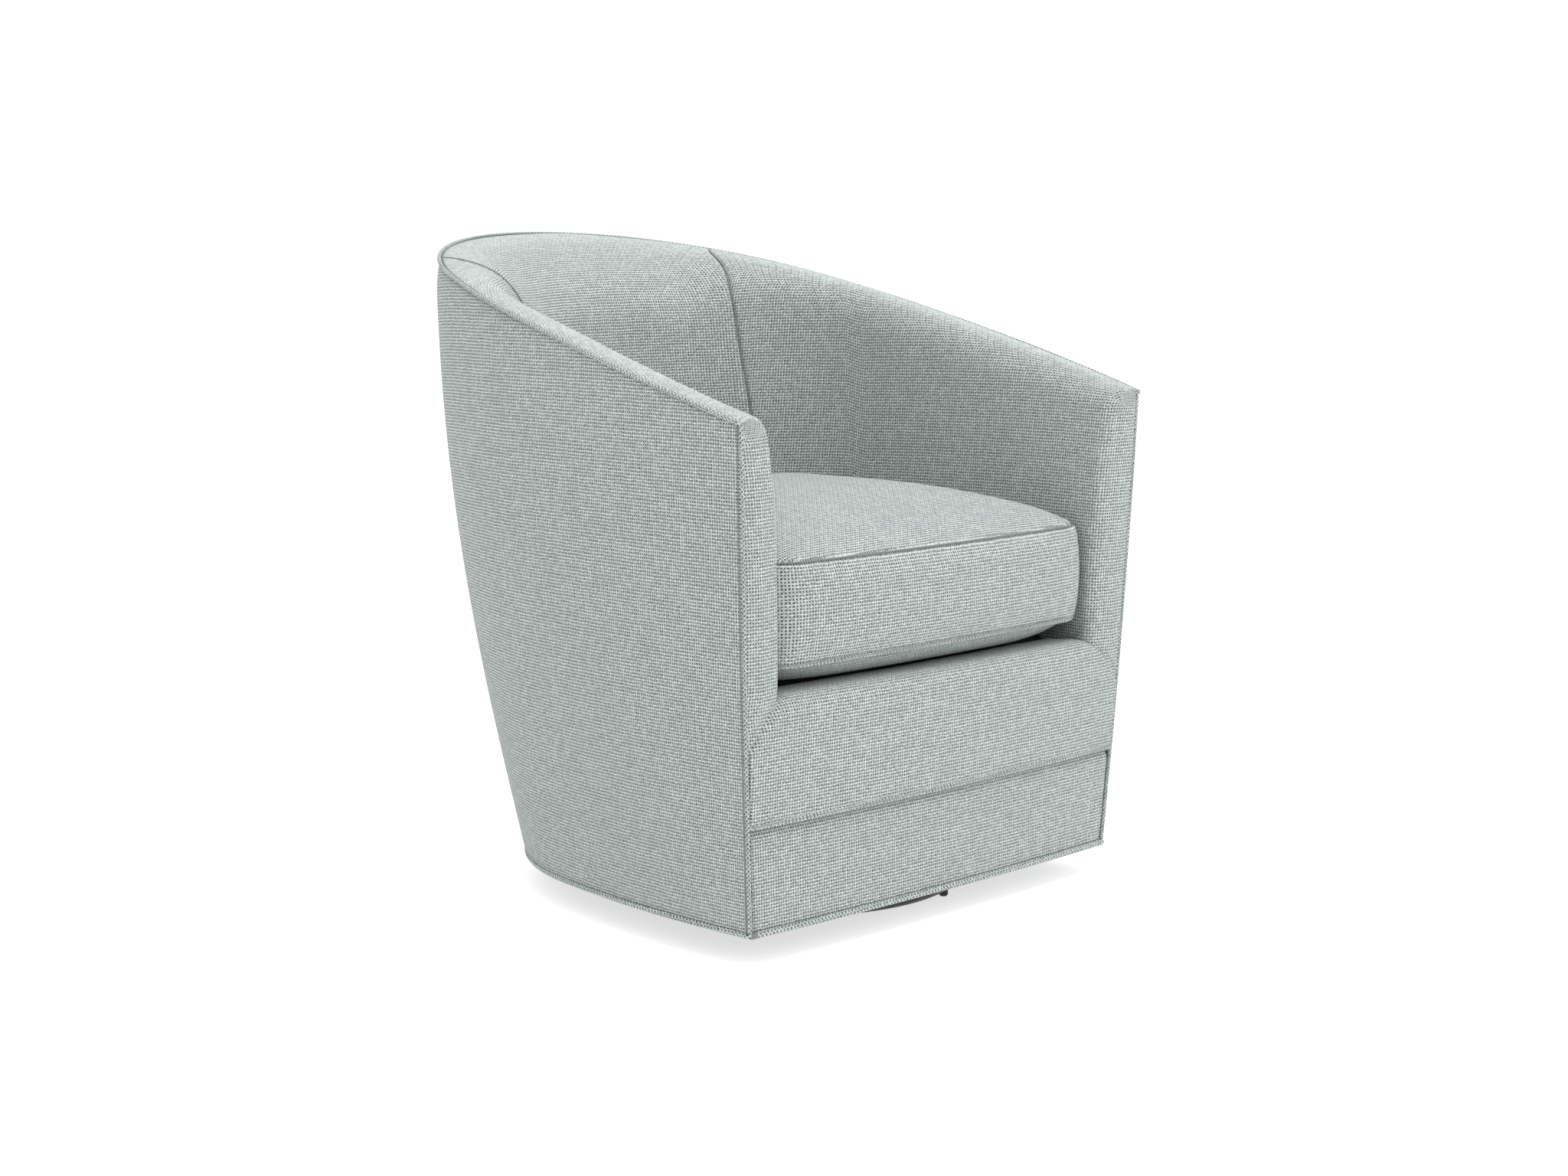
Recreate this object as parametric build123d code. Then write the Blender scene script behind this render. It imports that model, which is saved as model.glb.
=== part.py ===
from build123d import *
import os
from math import atan, cos, degrees, sqrt

# An upholstered barrel armchair that turns on a low round steel base, in millimetres.
# +Z is up, the front faces -Y, and the origin is on the floor under the middle of the outline.

# Outer skin of the tub: half of its plan at the skirt, from the back centre round to the front corner
skirt_gap = 32.0
foot_back_y = 228.0
foot_shoulder_x = 233.0
foot_shoulder_y = 114.0
foot_side_x = 293.0
foot_side_y = -25.0
foot_corner_x = 303.0
foot_corner_y = -356.0
front_bow = 10.0

# How far the skin flares outwards over the flare height, and how much it bellies on the way
flare_height = 750.0
back_flare = 145.0
shoulder_flare_x = 49.0
shoulder_flare_y = 68.0
side_flare_x = 29.0
side_flare_y = 55.0
corner_flare_x = 36.0
corner_flare_y = -23.0
back_belly = 1.2
side_belly = 0.9
corner_belly = 0.5
skin_level_shares = (-0.01, 0.22, 0.46, 0.72, 1.02)

# Top edge, which rises from the arm fronts to the back
arm_top_z = 596.0
back_top_z = 783.0
top_edge_bulge = 5.0

# Thickness of the padded wall at seat level and at the top of the flare
seat_back_wall = 174.0
seat_shoulder_wall = 112.0
seat_side_wall = 68.0
seat_corner_wall = 46.0
top_back_wall = 142.0
top_shoulder_wall = 78.0
top_side_wall = 50.0
top_corner_wall = 36.0
back_seam_x = 168.0
arm_front_roll = 16.0

# Soft roll of the pads over the top edge: how deep below the edge, and how much of the wall is left there
roll_drops = (-12.0, 0.0, 14.0, 60.0, 115.0)
back_roll_shares = (0.02, 0.12, 0.45, 0.9, 1.04)
arm_roll_shares = (0.3, 0.55, 0.84, 0.98, 1.08)
roll_settling = 6

# Layers of the wall from the outside in, and the gap left between pieces
cover_thickness = 2.0
panel_thickness = 3.0
frame_thickness = 20.0
ply_gap = 0.3
top_padding = 18.0

# Wooden frame
board_thickness = 18.0
post_width = 60.0
back_post_x = 205.0
centre_post_width = 60.0
rail_height = 60.0
lower_rail_height = 92.0
top_rail_height = 40.0
front_rail_thickness = 21.0
corner_block_leg = 55.0
screw_diameter = 5.0
screw_head_diameter = 9.0
screw_head_height = 3.0
screw_length = 55.0
screw_clearance = 0.1

# Seat deck and its webbing
deck_top_z = 298.0
deck_thickness = 11.7
strap_thickness = 2.0
strap_width = 50.0
strap_rows_x = (-170.0, -60.0, 60.0, 170.0)
strap_rows_y = (-219.0, -129.0, -39.0, 51.0)

# Front rail pad and kick panel
rail_crest_z = 295.0
rail_welt_z = 157.0
rail_pad_depth = 22.0
rail_pad_lip = 40.0
rail_roll = 19.0
rail_end_margin = 5.0
kick_thickness = 12.0
kick_setback = 4.0

# Welts
welt_diameter = 6.0
skirt_welt_diameter = 8.0
welt_stand = 1.5
corner_welt_shares = (0.35, 0.7, 1.0)

# Loose seat cushion
cushion_clearance = 3.0
cushion_front_y = -350.0
cushion_corner_radius = 40.0
cushion_seam_low_z = 324.0
cushion_seam_high_z = 436.0
cushion_crown_z = 488.0
cushion_crown_radius = 1180.0
cushion_pull_in = 3.0
cushion_foot_inset = 14.0
cushion_edge_roll = 18.0
cushion_cover = 2.0
zip_height = 16.0
zip_thickness = 1.5

# Swivel and base
swivel_y = -113.0
glide_height = 7.0
glide_diameter = 11.0
glide_saddle = 2.0
glide_turn = 21.0
glide_count = 4
ring_radius = 200.0
ring_tube = 22.0
cross_width = 40.0
cross_thickness = 5.0
cross_below_ring_top = 2.0
plate_size = 170.0
plate_thickness = 2.5
plate_corner = 18.0
bolt_spread = 66.0
bolt_diameter = 6.0
bolt_head_diameter = 12.0
bolt_head_height = 2.4
nut_width = 10.0
nut_height = 5.0
bolt_clearance = 0.1
race_radius = 58.0
ball_diameter = 7.0
ball_count = 20
ball_clearance = 0.05
cage_thickness = 3.0
cage_width = 14.0
rivet_diameter = 16.0
rivet_head_diameter = 30.0
rivet_head_height = 4.0
rivet_clearance = 0.05
board_bore = 60.0
dust_cover_margin = 12.0
dust_cover_thickness = 1.2

# Heights and places that follow from the sizes above
cross_top_z = glide_height + ring_tube - cross_below_ring_top
cross_z = cross_top_z - cross_thickness
lower_plate_top_z = cross_top_z + plate_thickness
upper_plate_z = lower_plate_top_z + ball_diameter + 2 * ball_clearance
board_z = upper_plate_z + plate_thickness
board_top_z = board_z + board_thickness
deck_z = deck_top_z - deck_thickness
rail_top_z = deck_z - ply_gap - 2 * strap_thickness
rail_bottom_z = rail_top_z - rail_height
skirt_top_z = skirt_gap + skirt_welt_diameter
panel_inset = cover_thickness + ply_gap
frame_inset = panel_inset + panel_thickness + ply_gap
frame_inner = frame_inset + frame_thickness
pad_inset = frame_inner + ply_gap
far = 600.0


def growth(z, belly):
    """Share of the flare reached at a height: none at the skirt, all of it at the flare height."""
    share = (z - skirt_gap) / flare_height
    return share * (1 + belly * (1 - share))


def skin_points(z):
    """Half of the outer skin's plan at a height: back centre, shoulder, side and front corner."""
    back = growth(z, back_belly)
    side = growth(z, side_belly)
    corner = growth(z, corner_belly)
    return [
        Vector(0, foot_back_y + back_flare * back),
        Vector(foot_shoulder_x + shoulder_flare_x * side, foot_shoulder_y + shoulder_flare_y * back),
        Vector(foot_side_x + side_flare_x * side, foot_side_y + side_flare_y * back),
        Vector(foot_corner_x + corner_flare_x * corner, foot_corner_y + corner_flare_y * corner),
    ]


def directions(points):
    """Direction at each point of a chain of tangent arcs that starts along +X."""
    found = [Vector(1, 0)]
    for start, end in zip(points, points[1:]):
        chord = (end - start).normalized()
        found.append(chord * (2 * found[-1].dot(chord)) - found[-1])
    return found


def moved_in(points, walls):
    """The points moved inwards, square to the skin, each by its own wall."""
    return [p + Vector(d.Y, -d.X) * w for p, d, w in zip(points, directions(points), walls)]


def plan_face(points, front_y=None, mouth=0.0):
    """A symmetric plan of arcs through the points, closed by a bowed front or run straight on to front_y.

    With a mouth it first opens outwards along a quarter circle of that radius.
    """
    half = [TangentArc(a, b, tangent=d) for a, b, d in zip(points, points[1:], directions(points))]
    tip = points[-1]
    if front_y is None:
        front = ThreePointArc(tip, Vector(0, tip.Y - front_bow), Vector(-tip.X, tip.Y))
    else:
        if mouth:
            lip = tip + Vector(mouth, -mouth)
            half.append(TangentArc(tip, lip, tangent=Vector(0, -1)))
            tip = lip
        nose = Vector(tip.X, front_y)
        half.append(Line(tip, nose))
        front = Line(nose, Vector(-nose.X, nose.Y))
    other = [mirror(edge, about=Plane.YZ) for edge in half]
    return make_face(half + other + [front])


skin_levels = [skirt_gap + flare_height * share for share in skin_level_shares]


def skin_solid(inset, open_front=False):
    """The tub's outer skin moved in by an inset, as a solid; with an open front it runs out forwards."""
    front_y = -far if open_front else None
    faces = []
    for z in skin_levels:
        points = moved_in(skin_points(z), [inset] * 4)
        if not open_front:
            points[-1] += Vector(0, inset)
        faces.append(Pos(0, 0, z) * plan_face(points, front_y))
    return loft(faces)


def walls_at(z):
    """Thickness of the padded wall at a height: at the back centre, shoulder, side and front corner."""
    seat = (seat_back_wall, seat_shoulder_wall, seat_side_wall, seat_corner_wall)
    top = (top_back_wall, top_shoulder_wall, top_side_wall, top_corner_wall)
    share = (z - deck_top_z) / (skirt_gap + flare_height - deck_top_z)
    return [a + (b - a) * share for a, b in zip(seat, top)]


def cavity_points(z, extra=0.0):
    """Half of the inner skin's plan at a height, moved in by an extra amount."""
    return moved_in(skin_points(z), [wall + extra for wall in walls_at(z)])


def under_top(drop):
    """Everything below the tub's top edge lowered by a drop."""
    front_y = skin_points(arm_top_z)[-1].Y
    back_y = skin_points(back_top_z)[0].Y
    middle = ((front_y + back_y) / 2, (arm_top_z + back_top_z) / 2 + top_edge_bulge - drop)
    start, end = (front_y, arm_top_z - drop), (back_y, back_top_z - drop)
    edge = ThreePointArc(start, middle, end)
    rim = Polyline(end, (far, end[1]), (far, -far), (-far, -far), (-far, start[1]), start)
    return extrude(Plane.YZ * make_face([edge] + rim.edges()), amount=far, both=True)


def roll_face(drop, back_share, arm_share):
    """A plan on a plane that slopes with the top edge, at a drop below it, inside a share of the wall."""
    front_y = skin_points(arm_top_z)[-1].Y
    back_y = skin_points(back_top_z)[0].Y
    rise = (back_top_z - arm_top_z) / (back_y - front_y)
    slope = atan(rise)
    shares = (back_share, back_share, arm_share, arm_share)
    points = []
    for i, share in enumerate(shares):
        z = back_top_z
        for _ in range(roll_settling):
            place = skin_points(z)
            z = arm_top_z + top_edge_bulge - drop + (place[i].Y - front_y) * rise
        walls = [wall * share for wall in walls_at(z)]
        point = moved_in(place, walls)[i]
        points.append(Vector(point.X, point.Y / cos(slope)))
    middle_z = arm_top_z + top_edge_bulge - drop - front_y * rise
    tilted = Plane((0, 0, middle_z)).rotated((degrees(slope), 0, 0))
    return tilted * plan_face(points, -far)


def slab(x=(-far, far), y=(-far, far), z=(-far, 2 * far)):
    """A box between stated limits."""
    size = [b - a for a, b in (x, y, z)]
    middle = [(a + b) / 2 for a, b in (x, y, z)]
    return Pos(*middle) * Box(*size)


def mirrored(piece):
    """The same piece on the chair's other side."""
    return mirror(piece, about=Plane.YZ)


def pin(diameter, height):
    """A round pin that stands on z 0."""
    return Cylinder(diameter / 2, height, align=(Align.CENTER, Align.CENTER, Align.MIN))


pieces = {}

# Skins that the layers are cut from
outer_skin = skin_solid(0.0)
panel_skin = skin_solid(panel_inset)
frame_skin = skin_solid(frame_inset)
cover_room = skin_solid(cover_thickness, open_front=True)
panel_room = skin_solid(panel_inset + panel_thickness, open_front=True)
frame_room = skin_solid(frame_inner, open_front=True)
pad_room = skin_solid(pad_inset, open_front=True)
cavity_levels = (deck_z - 2 * rail_height, deck_top_z, skin_levels[-1])
cavity_faces = []
for z in cavity_levels:
    points = cavity_points(z)
    points[-1] = Vector(points[-1].X, skin_points(z)[-1].Y + welt_diameter + arm_front_roll)
    cavity_faces.append(Pos(0, 0, z) * plan_face(points, -far, mouth=arm_front_roll))
cavity = loft(cavity_faces)
low_top = under_top(top_padding)

# Places along the front
rail_front_y = skin_points(rail_welt_z)[-1].Y
rail_back_y = rail_front_y + rail_pad_depth
frame_front_y = rail_back_y + ply_gap + front_rail_thickness + ply_gap
post_back_y = frame_front_y + post_width
back_post_end_x = back_post_x + post_width
arm_rail_end_x = back_post_x + post_width / 2

# Front rail pad: a bowed, rolled-over border that laps back over the seat rail
rail_half = skin_points(rail_welt_z)[-1].X - rail_end_margin
rail_tips = Vector(-rail_half, rail_front_y), Vector(rail_half, rail_front_y)
rail_nose = Vector(0, rail_front_y - front_bow)
lip_y = rail_back_y + rail_pad_lip
rail_plan = make_face(
    [ThreePointArc(rail_tips[0], rail_nose, rail_tips[1])]
    + Polyline(rail_tips[1], (rail_half, lip_y), (-rail_half, lip_y), rail_tips[0]).edges()
)
rail_pad = Pos(0, 0, rail_welt_z) * extrude(rail_plan, amount=rail_crest_z - rail_welt_z)
rail_top_edges = rail_pad.edges().group_by(Axis.Z)[-1]
rail_pad = fillet(rail_top_edges.sort_by(Axis.Y)[:-1], rail_roll)
rail_pad -= slab(y=(rail_back_y, far), z=(0, deck_z))
lip_trim = moved_in(skin_points(deck_top_z), [pad_inset] * 4)[-1].X
rail_pad -= slab(x=(lip_trim, far), y=(rail_back_y, far))
rail_pad -= slab(x=(-far, -lip_trim), y=(rail_back_y, far))
pieces["front_rail_pad"] = rail_pad

# Welts: cords along the front corners, the top edge, the skirt and the rail's lower edge
corner_levels = [skirt_top_z + ply_gap]
corner_levels += [arm_top_z * share - welt_diameter for share in corner_welt_shares]
cord = []
for z in corner_levels:
    tip = skin_points(z)[-1]
    cord.append(Pos(tip.X - welt_stand, tip.Y + welt_stand, z) * Circle(welt_diameter / 2))
right_front_welt = loft(cord)
pieces["right_front_welt"] = right_front_welt
pieces["left_front_welt"] = mirrored(right_front_welt)

welt_skin = skin_solid(-welt_stand)
welt_room = skin_solid(welt_diameter - welt_stand, open_front=True)
top_band = under_top(0.0) - under_top(welt_diameter)
pieces["top_welt"] = (welt_skin - welt_room) & top_band

skirt_room = skin_solid(skirt_welt_diameter - welt_stand)
pieces["bottom_welt"] = (welt_skin - skirt_room) & slab(z=(skirt_gap, skirt_top_z))

rail_path = ThreePointArc(rail_tips[0], rail_nose, rail_tips[1])
rail_path = Pos(0, 0, rail_welt_z - welt_diameter / 2 - ply_gap) * rail_path
pieces["rail_welt"] = sweep(Plane(rail_path @ 0, z_dir=rail_path % 0) * Circle(welt_diameter / 2), rail_path)

# Kick panel, set back under the rail's welt
kick_top_z = rail_welt_z - welt_diameter - 2 * ply_gap
kick_front_y = rail_back_y - kick_thickness
kick_half = skin_points(skirt_top_z)[-1].X - rail_end_margin
kick_tips = Vector(-kick_half, kick_front_y), Vector(kick_half, kick_front_y)
kick_nose = Vector(0, kick_front_y - front_bow + kick_setback)
kick_plan = make_face(
    [ThreePointArc(kick_tips[0], kick_nose, kick_tips[1])]
    + Polyline(kick_tips[1], (kick_half, rail_back_y), (-kick_half, rail_back_y), kick_tips[0]).edges()
)
kick_z = skirt_top_z + ply_gap
pieces["kick_panel"] = Pos(0, 0, kick_z) * extrude(kick_plan, amount=kick_top_z - kick_z)

# Outside cover and the fibreboard wrap that backs it
above_skirt = slab(z=(skirt_top_z + ply_gap, 2 * far))
cover = ((outer_skin - cover_room) & under_top(welt_diameter + ply_gap)) & above_skirt
pieces["outside_cover"] = cover - right_front_welt - mirrored(right_front_welt)
behind_rail = slab(y=(rail_back_y + ply_gap, far))
pieces["outer_panel"] = ((panel_skin - panel_room) & low_top) & above_skirt & behind_rail

# Inside pads: they roll over the top edge and wrap the arm fronts, and part at the two back seams
pad_skin = skin_solid(welt_diameter)
core = (low_top - pad_room) & slab(y=(frame_front_y - ply_gap, far))
roll = loft([roll_face(*sizes) for sizes in zip(roll_drops, back_roll_shares, arm_roll_shares)])
pads = (pad_skin & under_top(0.0)) - cavity - roll
pads = pads - core - rail_pad
pads = pads & slab(z=(deck_z, 2 * far))
pads -= slab(y=(-far, frame_front_y), z=(-far, rail_welt_z))
pieces["inside_back_pad"] = pads & slab(x=(-back_seam_x, back_seam_x), y=(0, far))
pieces["right_inside_arm_pad"] = pads & slab(x=(back_seam_x + ply_gap, far))
pieces["left_inside_arm_pad"] = mirrored(pieces["right_inside_arm_pad"])

# Wooden frame: every curved member is a stretch of one band that follows the skin
band = (frame_skin - frame_room) & under_top(top_padding + ply_gap)
post_top = under_top(top_padding + ply_gap + top_rail_height)
posts = (band & post_top) & slab(z=(board_top_z, 2 * far))
rails = band - post_top

front_post = posts & slab(x=(0, far), y=(frame_front_y, post_back_y))
back_post = posts & slab(x=(back_post_x, back_post_end_x), y=(0, far))
side_rail = band & slab(
    x=(back_post_end_x, far), y=(post_back_y, far), z=(rail_bottom_z, rail_top_z + strap_thickness)
)
arm_rail = rails & slab(x=(arm_rail_end_x, far), y=(frame_front_y, far))
for name, piece in (
    ("front_post", front_post),
    ("back_post", back_post),
    ("side_rail", side_rail),
    ("arm_rail", arm_rail),
):
    pieces["right_" + name] = piece
    pieces["left_" + name] = mirrored(piece)
pieces["back_top_rail"] = rails & slab(x=(-arm_rail_end_x, arm_rail_end_x), y=(0, far))
rear_span = slab(x=(-back_post_x, back_post_x), y=(0, far), z=(rail_bottom_z, rail_top_z))
pieces["rear_seat_rail"] = band & rear_span
half_post = centre_post_width / 2
centre_span = slab(x=(-half_post, half_post), y=(0, far))
centre_post = posts & centre_span & slab(z=(rail_top_z, 2 * far))
centre_foot = posts & centre_span & slab(z=(-far, rail_bottom_z))
pieces["centre_back_post"] = centre_post
pieces["centre_back_foot"] = centre_foot

front_span = (rail_back_y + ply_gap, rail_back_y + ply_gap + front_rail_thickness)
lower_rail = frame_skin & slab(y=front_span, z=(board_top_z, board_top_z + lower_rail_height))
seat_rail = frame_skin & slab(y=front_span, z=(rail_bottom_z, rail_top_z))

# Screws through both front rails into the front posts
screw_seat_y = front_span[0]
screw = pin(screw_diameter, screw_length) + pin(screw_head_diameter, screw_head_height)
screw_hole = pin(screw_diameter + 2 * screw_clearance, screw_length)
screw_hole += pin(screw_head_diameter + 2 * screw_clearance, screw_head_height)
screw_rows = (board_top_z + lower_rail_height / 3, board_top_z + lower_rail_height * 2 / 3)
screw_rows += (rail_bottom_z + rail_height / 3, rail_bottom_z + rail_height * 2 / 3)
screws = []
for z in screw_rows:
    edge = moved_in(skin_points(z), [frame_inset + frame_thickness / 2] * 4)[-1]
    for side in (-1, 1):
        place = Pos(side * edge.X, screw_seat_y, z) * Rot(-90, 0, 0)
        screws.append(place * screw)
        hole = place * screw_hole
        lower_rail -= hole
        seat_rail -= hole
        pieces["right_front_post"] -= hole
        pieces["left_front_post"] -= hole
pieces["front_lower_rail"] = lower_rail
pieces["front_seat_rail"] = seat_rail
pieces["rail_screws"] = Compound(screws)

# Glue blocks in the corners between the front rail, the posts and the bottom board
block_edge = moved_in(skin_points(board_top_z), [frame_inner + ply_gap] * 4)[-1].X
block_plan = make_face(
    Polyline(
        (block_edge, front_span[1]),
        (block_edge - corner_block_leg, front_span[1]),
        (block_edge, front_span[1] + corner_block_leg),
        (block_edge, front_span[1]),
    ).edges()
)
block = Pos(0, 0, board_top_z) * extrude(block_plan, amount=corner_block_leg)
pieces["corner_blocks"] = Compound([block, mirrored(block)])

# Seat webbing, trimmed at the middle of the rails, with the deck pad on it
strap_trim = skin_solid(frame_inset + frame_thickness / 2)
strap_z = rail_top_z, rail_top_z + strap_thickness, rail_top_z + 2 * strap_thickness
half_strap = strap_width / 2
long_straps = [
    strap_trim
    & slab(x=(x - half_strap, x + half_strap), y=(front_span[0] + ply_gap, far), z=strap_z[:2])
    for x in strap_rows_x
]
cross_straps = [
    strap_trim & slab(y=(y - half_strap, y + half_strap), z=strap_z[1:]) for y in strap_rows_y
]
pieces["seat_straps_lengthwise"] = Compound(long_straps)
pieces["seat_straps_crosswise"] = Compound(cross_straps)
deck_plan = plan_face(cavity_points(deck_z, ply_gap), -far)
deck = Pos(0, 0, deck_z) * extrude(deck_plan, amount=deck_thickness)
pieces["deck_pad"] = deck & slab(y=(lip_y + ply_gap, far))

# Bottom board, bolted down onto the swivel's upper plate, with the dust cover stapled under it
swivel = Pos(0, swivel_y, 0)
bolt_places = GridLocations(2 * bolt_spread, 2 * bolt_spread, 2, 2)
board_skin = skin_solid(skirt_welt_diameter - welt_stand + ply_gap)
board = board_skin & slab(y=(rail_back_y + ply_gap, far), z=(board_z, board_top_z))
board -= swivel * Pos(0, 0, board_z) * Cylinder(board_bore / 2, 3 * board_thickness)
bolt_bore = Cylinder(bolt_diameter / 2 + bolt_clearance, 6 * board_thickness)
for place in bolt_places:
    board -= swivel * place * Pos(0, 0, board_z) * bolt_bore
dust_z = board_z - dust_cover_thickness
dust_span = slab(y=(rail_back_y + ply_gap, far), z=(dust_z, board_z))
dust = board_skin & dust_span
dust_bore = plate_size / sqrt(2) + dust_cover_margin
dust -= swivel * Pos(0, 0, dust_z) * Cylinder(dust_bore, 4 * dust_cover_thickness)
pieces["bottom_board"] = board
pieces["dust_cover"] = dust

# Swivel: two square plates with a ring of balls between them, held together by a shouldered rivet
plate = extrude(RectangleRounded(plate_size, plate_size, plate_corner), amount=plate_thickness)
for place in bolt_places:
    plate -= place * bolt_bore
rivet_bore = Cylinder(rivet_diameter / 2, 4 * plate_thickness)
loose_bore = Cylinder(rivet_diameter / 2 + rivet_clearance, 4 * plate_thickness)
base_turn = swivel * Rot(0, 0, glide_turn)
pieces["swivel_lower_plate"] = base_turn * Pos(0, 0, cross_top_z) * (plate - rivet_bore)
pieces["swivel_upper_plate"] = swivel * Pos(0, 0, upper_plate_z) * (plate - loose_bore)
stem_height = board_z - cross_top_z + 2 * rivet_clearance
stem = Pos(0, 0, cross_top_z + stem_height / 2) * Cylinder(rivet_diameter / 2, stem_height)
rivet_head = Pos(0, 0, cross_top_z + stem_height + rivet_head_height / 2) * Cylinder(
    rivet_head_diameter / 2, rivet_head_height
)
pieces["pivot_rivet"] = swivel * (stem + rivet_head)

race_z = lower_plate_top_z + ball_clearance + ball_diameter / 2
cage_rim = Cylinder(race_radius + cage_width / 2, cage_thickness)
cage = Pos(0, 0, race_z) * (cage_rim - Cylinder(race_radius - cage_width / 2, cage_thickness))
ball_places = PolarLocations(race_radius, ball_count)
balls = []
for place in ball_places:
    pocket = Cylinder(ball_diameter / 2 + ball_clearance, 2 * cage_thickness)
    cage -= place * Pos(0, 0, race_z) * pocket
    balls.append(swivel * place * Pos(0, 0, race_z) * Sphere(ball_diameter / 2))
pieces["ball_cage"] = swivel * cage
pieces["bearing_balls"] = Compound(balls)


def bolt(head_down):
    """A bolt with its head's bearing face at z 0 and its thread pointing up, or down."""
    length = board_thickness + 2 * plate_thickness + nut_height
    if head_down:
        length = cross_thickness + plate_thickness + nut_height
    thread = Pos(0, 0, length / 2) * Cylinder(bolt_diameter / 2, length)
    cap = Pos(0, 0, -bolt_head_height / 2) * Cylinder(bolt_head_diameter / 2, bolt_head_height)
    made = thread + cap
    return Rot(180, 0, 0) * made if head_down else made


nut = extrude(RegularPolygon(nut_width / 2, 6, major_radius=False), amount=nut_height)
nut -= Cylinder(bolt_diameter / 2 + bolt_clearance, 4 * nut_height)
flange = pin(bolt_head_diameter, plate_thickness)
flange -= Cylinder(bolt_diameter / 2 + bolt_clearance, 4 * nut_height)
upper_bolts, upper_nuts, lower_bolts, lower_nuts = [], [], [], []
for place in bolt_places:
    upper_bolts.append(swivel * place * Pos(0, 0, upper_plate_z) * bolt(False))
    upper_nuts.append(swivel * place * Pos(0, 0, board_top_z) * (nut + flange))
    lower_bolts.append(base_turn * place * Pos(0, 0, lower_plate_top_z) * bolt(True))
    lower_nuts.append(base_turn * place * Pos(0, 0, cross_z - nut_height) * nut)
pieces["upper_plate_bolts"] = Compound(upper_bolts)
pieces["t_nuts"] = Compound(upper_nuts)
pieces["lower_plate_bolts"] = Compound(lower_bolts)
pieces["lower_plate_nuts"] = Compound(lower_nuts)

# Base: a round steel ring with a welded cross that carries the lower plate, on small glides
ring_z = glide_height + ring_tube / 2
ring = Pos(0, 0, ring_z) * Torus(ring_radius, ring_tube / 2)
cross_bar = Box(2 * ring_radius, cross_width, cross_thickness)
cross_bar = Pos(0, 0, cross_z + cross_thickness / 2) * cross_bar
cross = Rot(0, 0, 45) * cross_bar + Rot(0, 0, -45) * cross_bar
cross -= ring
for place in bolt_places:
    cross -= place * bolt_bore
glide_places = PolarLocations(ring_radius, glide_count, start_angle=-90)
foot = pin(glide_diameter, glide_height + glide_saddle)
foot = chamfer(foot.faces().sort_by(Axis.Z)[0].edges(), glide_height / 4)
saddle_room = Pos(0, 0, ring_z) * Torus(ring_radius, ring_tube / 2 + bolt_clearance)
glides = [base_turn * (place * foot - saddle_room) for place in glide_places]
pieces["base_ring"] = base_turn * ring
pieces["base_cross"] = base_turn * cross
pieces["floor_glides"] = Compound(glides)

# Loose cushion: crowned top, bulging boxing drawn in at its two seams, flat where it rests on the deck
cushion_half = cavity_points(deck_top_z, cushion_clearance)
cushion_half[-1] = Vector(cushion_half[-1].X, cushion_front_y)
cushion_plan = plan_face(cushion_half)
cushion_plan = fillet(cushion_plan.vertices().group_by(Axis.Y)[0], cushion_corner_radius)
cushion_z = deck_top_z + ply_gap


def cushion_form(skin):
    """The cushion's whole form moved in by a skin thickness."""
    middle_z = (cushion_seam_low_z + cushion_seam_high_z) / 2
    levels = (
        (cushion_z + skin, cushion_foot_inset),
        (cushion_seam_low_z, cushion_pull_in),
        (middle_z, 0.0),
        (cushion_seam_high_z, cushion_pull_in),
        (cushion_crown_z + skin, cushion_foot_inset),
    )
    faces = []
    for z, inset in levels:
        outline = cushion_plan
        if inset + skin:
            outline = offset(cushion_plan, -(inset + skin))
        faces.append(Pos(0, 0, z) * outline)
    form = loft(faces)
    centre_y = (cushion_front_y + cavity_points(deck_top_z)[0].Y) / 2
    crown = Sphere(cushion_crown_radius - skin)
    form &= Pos(0, centre_y, cushion_crown_z - cushion_crown_radius) * crown
    rim = form.edges().filter_by(lambda e: e.center().Z > cushion_seam_high_z)
    return fillet(rim, cushion_edge_roll)


cushion = cushion_form(0.0)
lining = cushion_form(cushion_cover)
shell = cushion - lining
pieces["cushion_top_panel"] = shell & slab(z=(cushion_seam_high_z, 2 * far))
pieces["cushion_boxing"] = shell & slab(z=(cushion_seam_low_z, cushion_seam_high_z))
pieces["cushion_bottom_panel"] = shell & slab(z=(-far, cushion_seam_low_z))
zip_room = cushion_cover + ply_gap
zip_z = (cushion_seam_low_z + cushion_seam_high_z) / 2
zip_band = cushion_form(zip_room) - cushion_form(zip_room + zip_thickness)
pieces["cushion_zip"] = zip_band & slab(y=(0, far), z=(zip_z - zip_height / 2, zip_z + zip_height / 2))
pieces["cushion_core"] = cushion_form(zip_room + zip_thickness + ply_gap)

os.makedirs("parts", exist_ok=True)
for name, piece in pieces.items():
    export_step(piece, f"parts/{name}.step")
print(len(pieces), "pieces")
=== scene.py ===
# %% [markdown]
# # A barrel swivel chair in slub fabric
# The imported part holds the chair's steel base, its swivel and its wooden frame at their real sizes.
# This lesson dresses it: every soft piece is made here as cloth over padding, and every piece that
# stays from the part gets a finish. Lengths are metres, +Z is up and the seat faces -Y.

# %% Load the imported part
import math

import bmesh
import bpy
import numpy as np
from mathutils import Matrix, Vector, noise


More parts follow.
